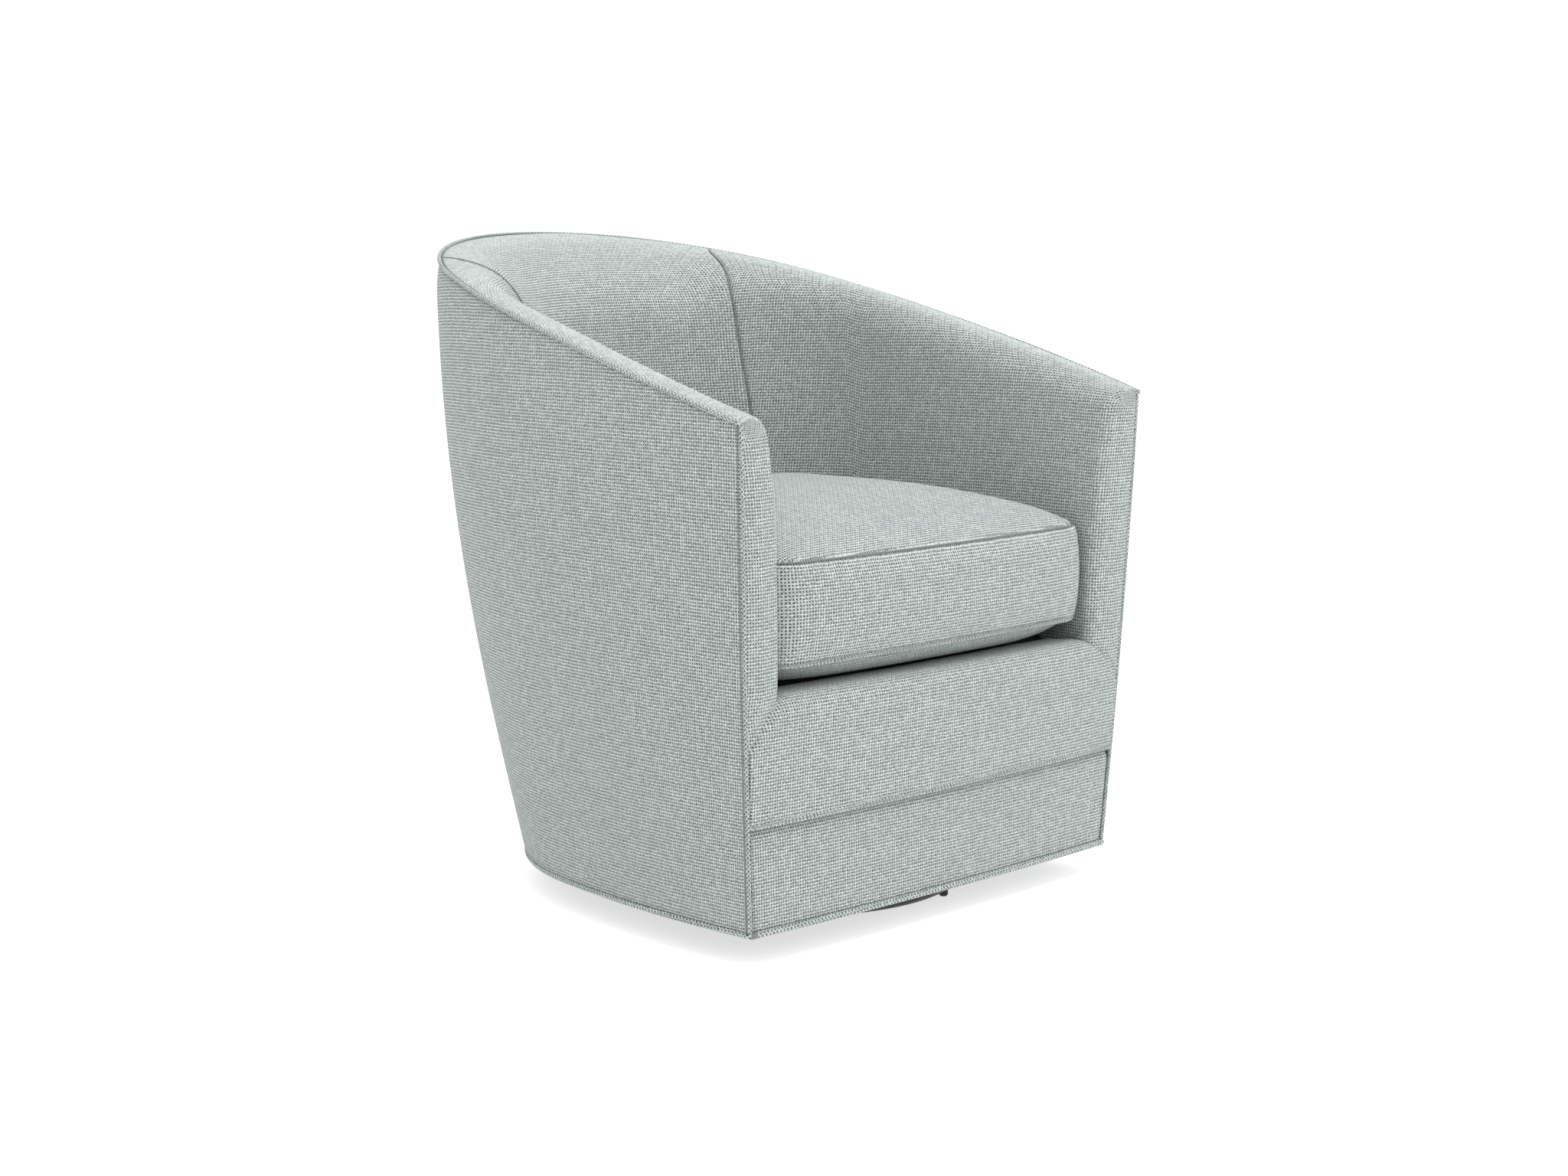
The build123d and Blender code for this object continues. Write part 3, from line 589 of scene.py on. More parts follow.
# %% [markdown]
# ## The inside pads
# Inside, three pads meet at two curved seams: the back, and an arm on each side that also wraps the
# arm's front. In section a pad runs level from the welt, rolls over, and drops to the seat. The roll is
# a superellipse, whose power says how square it is: deep and round on the back, flatter on the arms.
# At a seam the cloth is drawn in, so the grid's edges dip there.

# %% Section of the pads
back_roll, arm_roll, front_roll = 0.115, 0.060, 0.030
back_power, arm_power, front_power = 2.0, 3.4, 3.0
arm_puff, welt_dip, welt_reach = 0.004, 0.0028, 0.004
pad_low, front_low = 0.286, 0.225
arm_rounding = 0.016
roll_rows, wall_rows = 26, 34
pad_thickness = 0.006


def pad_section(u, row):
    """Point of the pads at a place on the plan; rows 0 to 1 are the roll, 1 to 2 the wall below it."""
    size = np.abs(u)
    to_arm = ease(size, 0.5, 1.1)
    to_front = ease(size, 2.5, 3.0)
    depth = back_roll + (arm_roll - back_roll) * to_arm + (front_roll - arm_roll) * to_front
    power = back_power + (arm_power - back_power) * to_arm + (front_power - arm_power) * to_front
    low = pad_low + (front_low - pad_low) * ease(size, 2.75, 2.95)
    top = top_height(u)
    angle = np.clip(row, 0, 1) * math.pi / 2
    share = np.clip(np.sin(angle), 0, 1) ** (2 / power)
    drop = depth * (1 - np.clip(np.cos(angle), 0, 1) ** (2 / power))
    z = top - drop + (low - top + depth) * np.clip(row - 1, 0, 1)
    z = z + arm_puff * to_arm * 4 * share * (1 - share)
    z = z - welt_dip * np.exp(-share * 0.06 / welt_reach) * (row <= 1)
    outer = along(skin_marks(z, part_skin), u)[0]
    inner = along(cavity_marks(z), u)[0]
    place = outer + (inner - outer) * share[..., None]
    return np.concatenate([place, z[..., None]], -1)


pad_rows = np.concatenate(
    [ease(np.linspace(0, 1, roll_rows, endpoint=False), 0, 1), np.linspace(1, 2, wall_rows)]
)
# Distance of each back seam from the middle, by row: both splay to the top edge, the left one more
seam_rows = (0.0, 0.13, 0.28, 0.44, 0.61, 0.77, 0.90, 1.03, 1.2, 1.3, 2.0)
right_splay = (0.2245, 0.205, 0.193, 0.186, 0.179, 0.175, 0.1746, 0.1766, 0.1806, 0.183, 0.186)
left_splay = (0.237, 0.2335, 0.227, 0.219, 0.210, 0.193, 0.176, 0.1766, 0.1806, 0.183, 0.186)


def seam_places(splay):
    """Place on the plan of a back seam at each row."""
    smooth = np.pad(np.interp(pad_rows, seam_rows, splay), 2, mode="edge")
    smooth = np.convolve(smooth, np.array([1, 2, 3, 2, 1]) / 9, "valid")
    search = np.linspace(0.3, 1.4, 240)
    rows = [pad_section(search, np.full(search.shape, row))[:, 0] for row in pad_rows]
    return np.array([np.interp(0.0, x - half, search) for x, half in zip(rows, smooth)])


right_seam_u, left_seam_u = seam_places(right_splay), seam_places(left_splay)


def climb(points):
    """Length up a pad from its lower edge, counted from the floor, so that the weft lies level."""
    return lengths(points[::-1], 0)[::-1] + points[-1:, :, 2]


# Over the top edge the weave's gaps are shut, a painted sheen that makes the top band lighter and smoother,
# as the cloth looks where light and view graze it
top_painted_sheen = 0.85 * (1 - ease(pad_rows, 0.12, 0.45))[:, None]
print("right back seam at u", round(float(right_seam_u.min()), 3), "to", round(float(right_seam_u.max()), 3))

# %% Back pad
seam_dip, seam_reach = 0.0042, 0.0024
pad_bump, back_stretch = 0.0012, 1.04
back_columns = 80
back_share = np.sin(np.linspace(-1, 1, back_columns + 1) * math.pi / 2)
back_u = np.where(back_share < 0, left_seam_u[:, None], right_seam_u[:, None]) * back_share
back_points = pad_section(back_u, np.repeat(pad_rows[:, None], back_columns + 1, 1))


def drawn_in(points, edges):
    """The grid drawn in at the given edge columns and a little uneven elsewhere, and how near they are."""
    out = -normals(points)
    dip = np.zeros(points.shape[:2])
    for column in edges:
        away = np.linalg.norm(points - points[:, column : column + 1], axis=-1)
        dip = np.maximum(dip, seam_dip * np.exp(-away / seam_reach))
    near = dip / seam_dip
    bumps = unevenness(points, 0.09, 3.0) * pad_bump * np.clip(1 - near, 0, 1)
    dip = dip * ease(pad_rows, 0.04, 0.2)[:, None]
    return points + out * (bumps - dip)[..., None], near**3


# The back's cloth hangs straight, so its warp lies in upright planes
back_uv = np.stack([back_points[..., 0] * back_stretch, climb(back_points)], -1)
seam_lines, seam_out = back_points[:, [0, -1]], -normals(back_points)[:, [0, -1]]
back_points, near_back_seam = drawn_in(back_points, (0, back_columns))
back_shut_gaps = np.maximum(top_painted_sheen, near_back_seam)
back_pad = panel(
    "inside_back_cloth", back_points, back_uv, (0, 0.34, 0.3), fabric, pad_thickness, shut_gaps=back_shut_gaps
)
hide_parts("inside_back_pad")
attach(back_pad, "chair")
print("back pad", back_points.shape)

# %% Arm pads
arm_columns, turn_columns, face_columns = 104, 8, 14
rounding = arm_rounding * ease(pad_rows, 0.0, 0.75)
side_run = abs(foot[3, 1] - foot[2, 1]) + 0.03
last_u = 3 - rounding / side_run
arm_share = np.linspace(0, 1, arm_columns + 1) ** 1.5
turns = np.linspace(0, math.pi / 2, turn_columns + 1)[1:]
face_share = np.linspace(0, 1, face_columns + 1)[1:]
forward = np.array([0.0, -1.0, 0.0])
behind_rail = 0.008


def arm_pad_grid(seam_u):
    """Points, UVs and shut gaps (at the seam, and painted sheen at the top) of a right arm pad from a seam:
    the inside, the rounded turn, the front.
    """
    arm_u = seam_u[:, None] + (last_u - seam_u)[:, None] * arm_share
    inside = pad_section(arm_u, np.repeat(pad_rows[:, None], arm_columns + 1, 1))
    last = inside[:, -1]
    down = np.gradient(last, axis=0)
    into = np.stack([-down[:, 2], np.zeros(len(last)), down[:, 0]], -1)
    into /= np.linalg.norm(into, axis=-1, keepdims=True)
    ahead = forward * (rounding[:, None] * np.sin(turns))[..., None]
    sideways = into[:, None] * (rounding[:, None] * (1 - np.cos(turns)))[..., None]
    turned_part = last[:, None] + ahead + sideways
    edge = turned_part[:, -1]
    welt_z = np.minimum(edge[:, 2], arm_top - 0.002)
    corner = skin_marks(welt_z, part_skin)[:, 3]
    welt_side = np.stack([corner[:, 0] - 0.002, corner[:, 1] + 0.001, welt_z], -1)
    face = edge[:, None] + (welt_side - edge)[:, None] * face_share[None, :, None]
    face[..., 1] -= 0.003 * np.sin(math.pi * face_share) * ease(pad_rows, 0.1, 0.9)[:, None]
    wrapped = np.concatenate([turned_part, face], 1)
    inner_share = np.concatenate([np.ones(turn_columns), 1 - face_share])
    wrapped[..., 1] += behind_rail * inner_share * (1 - ease(wrapped[..., 2], 0.235, 0.315))
    # The weave is counted back from the arm's front, so that its warp stands upright there
    level_way = lengths(inside[..., :2], 1)
    uv = np.stack([level_way - level_way[:, -1:], climb(inside)], -1)
    run = lengths(np.concatenate([inside[:, -1:], wrapped], 1), 1)[:, 1:]
    up = uv[:, -1:, 1] + wrapped[..., 2] - inside[:, -1:, 2]
    inside, near = drawn_in(inside, (0,))
    shut_gaps = np.maximum(top_painted_sheen, np.pad(near, ((0, 0), (0, wrapped.shape[1]))))
    return np.concatenate([inside, wrapped], 1), np.concatenate([uv, np.stack([run, up], -1)], 1), shut_gaps


for side, name, seam_u in ((1, "right", right_seam_u), (-1, "left", left_seam_u)):
    arm_grid, arm_uv, arm_shut_gaps = arm_pad_grid(seam_u)
    grid = arm_grid * np.array([side, 1.0, 1.0])
    arm_middle = (side * 0.31, -0.16, 0.36)
    arm_pad = panel(
        name + "_inside_arm_cloth", grid, arm_uv, arm_middle, fabric, pad_thickness, shut_gaps=arm_shut_gaps
    )
    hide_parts(name + "_inside_arm_pad")
    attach(arm_pad, "chair")
print("arm pads", arm_grid.shape)

# %% [markdown]
# ## The front rail and the kick panel
# Under the cushion a padded border rolls over the front rail and falls away to the welts at its ends.
# A welt closes its lower edge, and a flat panel fills the rest down to the skirt. Both bow forwards.

# %% Front rail pad
rail_low, rail_crest = 0.158, 0.2972
rail_round, rail_lap, rail_roll = 0.019, 0.050, 0.004
rail_bow, rail_proud = 0.010, 0.0025
rail_columns = 120
rail_across = np.linspace(-1, 1, rail_columns + 1)


def rail_front(x_share, z):
    """Front of the rail at a share of its half width and a height."""
    return skin_marks(z, part_skin)[..., 3, 1] - rail_bow * (1 - x_share**2) - rail_proud


def rail_half(z):
    """Half width of the rail at a height, up to the welts at its ends."""
    return skin_marks(z, part_skin)[..., 3, 0] - 0.0032


fall = np.clip((np.abs(rail_across) - 0.76) / 0.24, 0, 1)
crest = rail_crest - 0.048 * fall**2
profile = []
for step in np.linspace(0, 1, 26):
    z = rail_low + (crest - rail_round - rail_low) * step
    profile.append(np.stack([rail_half(z) * rail_across, rail_front(rail_across, z), z], -1))
top_front = rail_front(rail_across, crest - rail_round)
for angle in np.linspace(0, math.pi / 2, 10)[1:]:
    y = top_front + rail_round * (1 - math.cos(angle))
    z = crest - rail_round * (1 - math.sin(angle))
    profile.append(np.stack([rail_half(z) * rail_across, y, z], -1))
for step in np.linspace(0, 1, 7)[1:]:
    y = top_front + rail_round + rail_lap * step
    z = crest - rail_roll * step**1.5
    profile.append(np.stack([rail_half(z) * rail_across, y, z], -1))
rail_points = np.array(profile)
rail_points = rail_points + normals(rail_points) * (unevenness(rail_points, 0.1, 7.0) * -0.001)[..., None]
rail_uv = np.stack([rail_points[..., 0], lengths(rail_points, 0)], -1)
rail_pad = panel("front_rail_cloth", rail_points, rail_uv, (0, -0.31, 0.2), fabric, pad_thickness)
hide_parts("front_rail_pad")
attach(rail_pad, "chair")
print("front rail", rail_points.shape)

# %% Kick panel
kick_low, kick_high, kick_bow = 0.037, 0.1575, 0.0085
kick_gap, kick_back = 0.0058, 0.0015
kick_z = np.linspace(kick_low, kick_high, 24)[:, None]
kick_across = np.linspace(-1, 1, 101)[None]
kick_corner = skin_marks(kick_z, part_skin)[..., 3, :]
kick_x = (kick_corner[..., 0] - kick_gap) * kick_across
kick_y = kick_corner[..., 1] + kick_back - kick_bow * (1 - kick_across**2)
kick_y = kick_y + 0.005 * ease(kick_z, 0.143, 0.155)
kick_points = np.stack([kick_x, kick_y, np.broadcast_to(kick_z, kick_x.shape)], -1)
kick_uv = np.stack([lengths(kick_points, 1), lengths(kick_points, 0)], -1)
kick_panel = panel("kick_panel_cloth", kick_points, kick_uv, (0, 0, 0.1), fabric, 0.004, smooth=0)
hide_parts("kick_panel")
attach(kick_panel, "chair")
print("kick panel", kick_points.shape)

# %% [markdown]
# ## The loose cushion
# A boxed cushion is a top and a bottom panel joined by a strip. Its outline follows the cavity and is
# round at the front corners. A Coons patch fills an outline with a grid from its four sides, so the
# top, the strip and the bottom can share their seams. Air pressure in a cloth simulation then fills it,
# with the seams pinned and each point's travel capped so that it stays between the arms.

# %% Outline of the cushion
cushion_front, cushion_front_bow, cushion_corner = -0.350, 0.010, 0.040
seam_low, seam_high = 0.324, 0.436
cushion_foot, crown_rise, crown_reach = 0.2995, 0.0465, 0.18
belly_width = 0.032
seam_lip, strip_lip, seam_width = 0.0045, 0.0040, 0.0010

half_marks = cavity_marks(deck_top, 0.003)
half_marks[3] = (0.2635, cushion_front)
side_line = along(half_marks, spaced(60, 40, 120))[0]
front_x = np.linspace(half_marks[3, 0], 0, 80)
front_line = np.stack(
    [front_x, cushion_front - cushion_front_bow * (1 - (front_x / half_marks[3, 0]) ** 2)], -1
)
side_cut = side_line[side_line[:, 1] > cushion_front + cushion_corner]
front_cut = front_line[front_line[:, 0] < half_marks[3, 0] - cushion_corner]
turn = np.linspace(0, 1, 24)[1:-1, None]
knee = np.array([half_marks[3, 0], cushion_front - 0.001])
corner_in, corner_out = side_cut[-1], front_cut[0]
pull = 0.55
handle_in = corner_in + (knee - corner_in) * pull
handle_out = corner_out + (knee - corner_out) * pull
corner_line = (
    corner_in * (1 - turn) ** 3
    + 3 * handle_in * turn * (1 - turn) ** 2
    + 3 * handle_out * turn**2 * (1 - turn)
    + corner_out * turn**3
)
right_half = np.concatenate([side_cut, corner_line, front_cut])
left_half = right_half[-2:0:-1] * np.array([-1.0, 1.0])
outline = np.concatenate([right_half, left_half])
print("cushion", [round(float(x), 3) for x in np.ptp(outline, axis=0)], "m in plan")

# %% Cushion panels
edge_steps = np.array([0.0, 0.0016, 0.004, 0.0085, 0.015, 0.023]) / 0.54
inner_steps = np.linspace(edge_steps[-1], 1 - edge_steps[-1], 46)[1:-1]
patch_steps = np.concatenate([edge_steps, inner_steps, 1 - edge_steps[::-1]])


def run_between(line, start, end):
    """Points along a closed line from one share of its length to another, at the patch's steps."""
    closed = np.concatenate([line, line[:1]])
    run = lengths(closed[None], 1)[0]
    wanted = (start + (end - start) * patch_steps) % 1.0 * run[-1]
    return np.stack([np.interp(wanted, run, closed[:, i]) for i in (0, 1)], -1)


run = lengths(np.concatenate([outline, outline[:1]])[None], 1)[0]
corner_at = run[len(side_cut) + 11] / run[-1]
shoulder_at = run[66] / run[-1]
side_right = run_between(outline, shoulder_at, corner_at)[::-1]
side_front = run_between(outline, corner_at, 1 - corner_at)[::-1]
side_left = run_between(outline, 1 - corner_at, 1 - shoulder_at)
side_back = run_between(outline, 1 - shoulder_at, 1 + shoulder_at)


def coons(front, back, left, right):
    """A grid that fills the room between four lines which meet at their ends."""
    s, t = patch_steps[None, :, None], patch_steps[:, None, None]
    across = (1 - t) * front[None] + t * back[None]
    down = (1 - s) * left[:, None] + s * right[:, None]
    corners = (1 - s) * (1 - t) * front[0] + s * (1 - t) * front[-1]
    corners = corners + (1 - s) * t * back[0] + s * t * back[-1]
    return across + down - corners


plan = coons(side_front, side_back, side_left, side_right)
depth_in = np.linalg.norm(plan[:, :, None] - outline[None, None, ::2], axis=-1).min(-1)
size = len(patch_steps)
rim = [(0, i) for i in range(size)] + [(i, size - 1) for i in range(1, size)]
rim += [(size - 1, i) for i in range(size - 2, -1, -1)] + [(i, 0) for i in range(size - 2, 0, -1)]
rim = np.array(rim)
depth_in[rim[:, 0], rim[:, 1]] = 0.0


def quarter(x):
    """Height of a quarter circle at a share of its width."""
    return np.sqrt(1 - (1 - np.clip(x, 0, 1)) ** 2)


def belly(x):
    """Depth of the cushion's underside, which slopes in from its lower seam and then lies flat."""
    return 1 - (1 - np.clip(x, 0, 1)) ** 1.6


top_z = seam_high + crown_rise * (1 - (1 - np.clip(depth_in / crown_reach, 0, 1)) ** 1.5)
top_z = top_z + seam_lip * (1 - np.exp(-depth_in / seam_width))
to_corner = np.hypot(np.abs(plan[..., 0]) - half_marks[3, 0], plan[..., 1] - cushion_front)
belly_reach = belly_width + 0.04 * np.exp(-((to_corner / 0.06) ** 2))
bottom_z = seam_low - (seam_low - cushion_foot) * belly(depth_in / belly_reach)
belly_share = np.linspace(0, 1, 200)
belly_line = np.stack([belly_share * belly_width, (seam_low - cushion_foot) * (1 - belly(belly_share))], -1)
belly_extra = lengths(belly_line[::-1][None], 1)[0][::-1] - (belly_width - belly_line[:, 0])
rim_plan = plan[rim[:, 0], rim[:, 1]]
rim_way = np.roll(rim_plan, -1, 0) - np.roll(rim_plan, 1, 0)
rim_out = np.stack([rim_way[:, 1], -rim_way[:, 0]], -1)
rim_out /= np.linalg.norm(rim_out, axis=-1, keepdims=True)
swell = 0.0015 + 0.0055 * ease(-rim_plan[:, 1], 0.20, 0.33)
print("patch", plan.shape, "rim", rim_plan.shape)

# %% Cushion mesh
near_steps = np.array([0.0, 0.012, 0.03, 0.055, 0.09, 0.14])
strip_share = np.concatenate([near_steps, np.linspace(0.2, 0.8, 9), 1 - near_steps[::-1]])
points, faces, face_uvs = [], [], []
top_number = np.arange(size * size).reshape(size, size)
points.append(np.concatenate([plan, top_z[..., None]], -1).reshape(-1, 3))
bottom_number = top_number + size * size
points.append(np.concatenate([plan, bottom_z[..., None]], -1).reshape(-1, 3))
strip_number = [bottom_number[rim[:, 0], rim[:, 1]]]
used = 2 * size * size
for share in strip_share[1:-1]:
    from_seam = min(share, 1 - share) * (seam_high - seam_low)
    bulge = swell * (1 - (2 * share - 1) ** 2) ** 0.7 + strip_lip * (1 - math.exp(-from_seam / seam_width))
    ring = rim_plan + rim_out * bulge[:, None]
    z = np.full((len(rim), 1), seam_low + (seam_high - seam_low) * share)
    points.append(np.concatenate([ring, z], -1))
    strip_number.append(np.arange(len(rim)) + used)
    used += len(rim)
strip_number.append(top_number[rim[:, 0], rim[:, 1]])
strip_number = np.array(strip_number)
points = np.concatenate(points)

for number, upwards in ((top_number, True), (bottom_number, False)):
    quads = np.stack([number[:-1, :-1], number[:-1, 1:], number[1:, 1:], number[1:, :-1]], -1).reshape(-1, 4)
    quads = quads if upwards else quads[:, ::-1]
    faces.append(quads)
    flat_uv = points[:, :2].copy()
    if not upwards:
        extra = np.interp(depth_in, belly_share * belly_width, belly_extra).ravel()
        flat_uv[bottom_number.ravel(), 1] -= extra * (plan[..., 1].ravel() < -0.25)
    face_uvs.append(flat_uv[quads])
following = np.roll(strip_number, -1, axis=1)
quads = np.stack([strip_number[:-1], following[:-1], following[1:], strip_number[1:]], -1)
around = lengths(np.concatenate([rim_plan, rim_plan[:1]])[None], 1)[0]
strip_u = np.stack([around[:-1], around[1:], around[1:], around[:-1]], -1)
below, above = strip_share[:-1], strip_share[1:]
strip_v = (seam_high - seam_low) * np.stack([below, below, above, above], -1)
strip_uv = np.stack(
    [np.broadcast_to(strip_u[None], quads.shape), np.broadcast_to(strip_v[:, None], quads.shape)], -1
)
quads = quads.reshape(-1, 4)
strip_uv = strip_uv.reshape(-1, 4, 2)
corners = points[quads]
facing = np.cross(corners[:, 2] - corners[:, 0], corners[:, 3] - corners[:, 1])
if (facing * (corners.mean(1) - points.mean(0))).sum() < 0:
    quads, strip_uv = quads[:, ::-1], strip_uv[:, ::-1]
faces.append(quads)
face_uvs.append(strip_uv)
cushion_mesh = bpy.data.meshes.new("cushion_cloth")
cushion_mesh.from_pydata(points.tolist(), [], np.concatenate(faces).tolist())
cushion_layer = cushion_mesh.uv_layers.new(name="UVMap")
cushion_layer.data.foreach_set("uv", np.concatenate(face_uvs).ravel())
cushion = finished("cushion_cloth", cushion_mesh, fabric)
print("cushion", len(cushion_mesh.vertices), "points")

# %% Fill the cushion
pressure_steps = 18
rest = np.array([v.co for v in cushion_mesh.vertices])
seams = np.where(np.isclose(rest[:, 2:], [[seam_low, seam_high]], atol=1e-6).any(1))[0]
held = np.union1d(seams, np.where(rest[:, 2] < seam_low - 1e-6)[0])
front_share = ease(-rest[:, 1], 0.20, 0.33)
travel = np.where(rest[:, 2] > seam_high, 0.004, 0.0008 + 0.0025 * front_share)
group = cushion.vertex_groups.new(name="seams")
group.add([int(i) for i in held], 1.0, "REPLACE")
cloth = cushion.modifiers.new("filling", "CLOTH")
cloth.settings.quality = 6
cloth.settings.mass = 0.25
cloth.settings.use_pressure = True
cloth.settings.uniform_pressure_force = 4.0
cloth.settings.vertex_group_mass = "seams"
cloth.settings.effector_weights.gravity = 0.0
cloth.collision_settings.use_collision = False
cloth.point_cache.frame_start = 1
cloth.point_cache.frame_end = pressure_steps
for step in range(1, pressure_steps + 1):
    scene.frame_set(step)
graph = bpy.context.evaluated_depsgraph_get()
filled = cushion.evaluated_get(graph).to_mesh()
moved = np.array([v.co for v in filled.vertices]) - rest
cushion.evaluated_get(graph).to_mesh_clear()
cushion.modifiers.remove(cloth)
cushion.vertex_groups.remove(group)
reach = np.linalg.norm(moved, axis=-1)
moved *= np.minimum(1, travel / np.maximum(reach, 1e-9))[:, None]
cushion_mesh.vertices.foreach_set("co", (rest + moved).ravel())
cushion_mesh.update()
scene.frame_set(1)
print("pressure moved the cloth by up to", round(float(reach.max()), 4), "m before the cap")
edge_ends = np.array([edge.vertices[:] for edge in cushion_mesh.edges])
crease = cushion_mesh.attributes.new("crease_edge", "FLOAT", "EDGE")
crease.data.foreach_set("value", np.isin(edge_ends, seams).all(1).astype(np.float32))
rounding = cushion.modifiers.new("rounding", "SUBSURF")
rounding.levels = 1
rounding.render_levels = 1
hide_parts("cushion_top_panel", "cushion_boxing", "cushion_bottom_panel", "cushion_core")
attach(cushion, "cushion")

# %% [markdown]
# ## The deck and the dust cover
# With the cushion out, the deck shows: a thin pad in plain twill. From below, a black dust cover hides
# the board, stapled round its edge. The staples repeat along a path, so Geometry Nodes place them.

# %% Deck pad
deck_low, deck_front = 0.2863, -0.2985
deck_marks = cavity_marks(deck_low, -0.003)
deck_side = along(deck_marks, spaced(30, 20, 60))[0]
deck_side = deck_side[deck_side[:, 1] > deck_front]
deck_side = np.concatenate([deck_side, [(deck_side[-1, 0], deck_front)]])
deck_rows = 40
deck_share = np.linspace(0, 1, deck_rows)
deck_half_run = lengths(deck_side[None], 1)[0]
edge_half = np.stack(
    [np.interp(deck_share * deck_half_run[-1], deck_half_run, deck_side[:, i]) for i in (0, 1)], -1
)
deck_across = np.linspace(-1, 1, 61)
deck_x = edge_half[:, None, 0] * deck_across
deck_y = np.repeat(edge_half[:, None, 1], 61, 1)
deck_edge = np.minimum((1 - np.abs(deck_across))[None] * edge_half[:, None, 0], (deck_y - deck_front))
deck_z = deck_low + (deck_top - 0.0005 - deck_low) * quarter(deck_edge / 0.02)
deck_points = np.stack([deck_x, deck_y, deck_z], -1)
deck_uv = deck_points[..., :2]
deck_pad = panel("deck_cloth_pad", deck_points, deck_uv, (0, -0.05, 0.1), deck_cloth, 0.002)
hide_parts("deck_pad")
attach(deck_pad, "chair")

# The same cloth laps over the front seat rail and is tacked to its face
lip_section = np.array(
    [(-0.292, 0.2864), (-0.320, 0.2853), (-0.3402, 0.2850), (-0.3408, 0.278), (-0.3408, 0.232)]
)
lip_x = np.linspace(-0.262, 0.262, 45)
lip_points = np.stack(
    [
        np.broadcast_to(lip_x, (len(lip_section), len(lip_x))),
        np.repeat(lip_section[:, :1], len(lip_x), 1),
        np.repeat(lip_section[:, 1:], len(lip_x), 1),
    ],
    -1,
)
lip_uv = np.stack([lip_points[..., 0], lengths(lip_points, 0)], -1)
deck_lip = panel("deck_lip_cloth", lip_points, lip_uv, (0, -0.31, 0.2), deck_cloth, 0.0008, smooth=0)
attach(deck_lip, "chair")

# %% Dust cover
swivel_y = -0.113
dust_top, dust_front, dust_bore = 0.0389, -0.339, 0.170 / math.sqrt(2) + 0.012
dust_marks = skin_marks(dust_top, part_skin)
dust_way = headings(dust_marks)
dust_marks = dust_marks + np.stack([dust_way[:, 1], -dust_way[:, 0]], -1) * 0.0075
dust_half = along(dust_marks, spaced(40, 30, 80))[0]
dust_half = dust_half[dust_half[:, 1] > dust_front + 0.001]
dust_nose = np.stack([np.linspace(dust_half[-1, 0], 0, 40), np.full(40, dust_front + 0.001)], -1)
dust_right = np.concatenate([dust_half, dust_nose])
dust_line = np.concatenate([dust_right, dust_right[-2:0:-1] * np.array([-1.0, 1.0])])
dust_angle = np.arctan2(dust_line[:, 1] - swivel_y, dust_line[:, 0])
bore_line = np.stack([dust_bore * np.cos(dust_angle), swivel_y + dust_bore * np.sin(dust_angle)], -1)
dust_share = np.linspace(0, 1, 12)[:, None, None]
dust_plan = bore_line + (dust_line - bore_line) * dust_share
dust_flat = np.concatenate([dust_plan, np.full(dust_plan.shape[:2] + (1,), dust_top)], -1)
sag = 0.0006 * np.sin(math.pi * dust_share[..., 0]) * (1 + unevenness(dust_flat, 0.06, 11.0))
dust_flat[..., 2] -= sag
dust_sheet = panel(
    "dust_cloth", dust_flat, dust_flat[..., :2], (0, 0, 0.5), nonwoven, 0.0004, smooth=0, wrap=True
)
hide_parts("dust_cover")
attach(dust_sheet, "chair")

# %% [markdown]
# ## Paths that carry cords and staples
# A welt is a cord in a strip of cloth cut on the bias, so its weave runs at 45 degrees. One node tree
# sweeps a round section along any path and writes a UV map turned by that angle. A second tree sets
# staples along a path. Both are turned into plain meshes, one for each body.

# %% Path helpers
def path_object(name, paths):
    """A curve object with one straight-run spline for each path: points, radius, closed or not."""
    data = bpy.data.curves.new(name, "CURVE")
    data.dimensions = "3D"
    for line, radius, closed in paths:
        spline = data.splines.new("POLY")
        spline.points.add(len(line) - 1)
        for point, place in zip(spline.points, line):
            point.co = (*[float(x) for x in place], 1.0)
            point.radius = radius
        spline.use_cyclic_u = closed
    made = bpy.data.objects.new(name, data)
    scene.collection.objects.link(made)
    return made


def new_tree(name, inputs):
    """An empty geometry tree with named inputs, its group input node, and each input's identifier."""
    tree = bpy.data.node_groups.new(name, "GeometryNodeTree")
    identifiers = {}
    for label, kind in inputs:
        socket = tree.interface.new_socket(label, in_out="INPUT", socket_type=kind)
        identifiers[label] = socket.identifier
    tree.interface.new_socket("Geometry", in_out="OUTPUT", socket_type="NodeSocketGeometry")
    return tree, add(tree, "NodeGroupInput"), identifiers


def grown(source, tree, identifiers, values, name):
    """The plain mesh that a tree makes of a path object, as a new object."""
    modifier = source.modifiers.new("tree", "NODES")
    modifier.node_group = tree
    for label, value in values.items():
        modifier[identifiers[label]] = value
    graph = bpy.context.evaluated_depsgraph_get()
    mesh = bpy.data.meshes.new_from_object(
        source.evaluated_get(graph), preserve_all_data_layers=True, depsgraph=graph
    )
    source.modifiers.remove(modifier)
    bpy.data.objects.remove(source)
    made = bpy.data.objects.new(name, mesh)
    mesh.name = name
    scene.collection.objects.link(made)
    return made


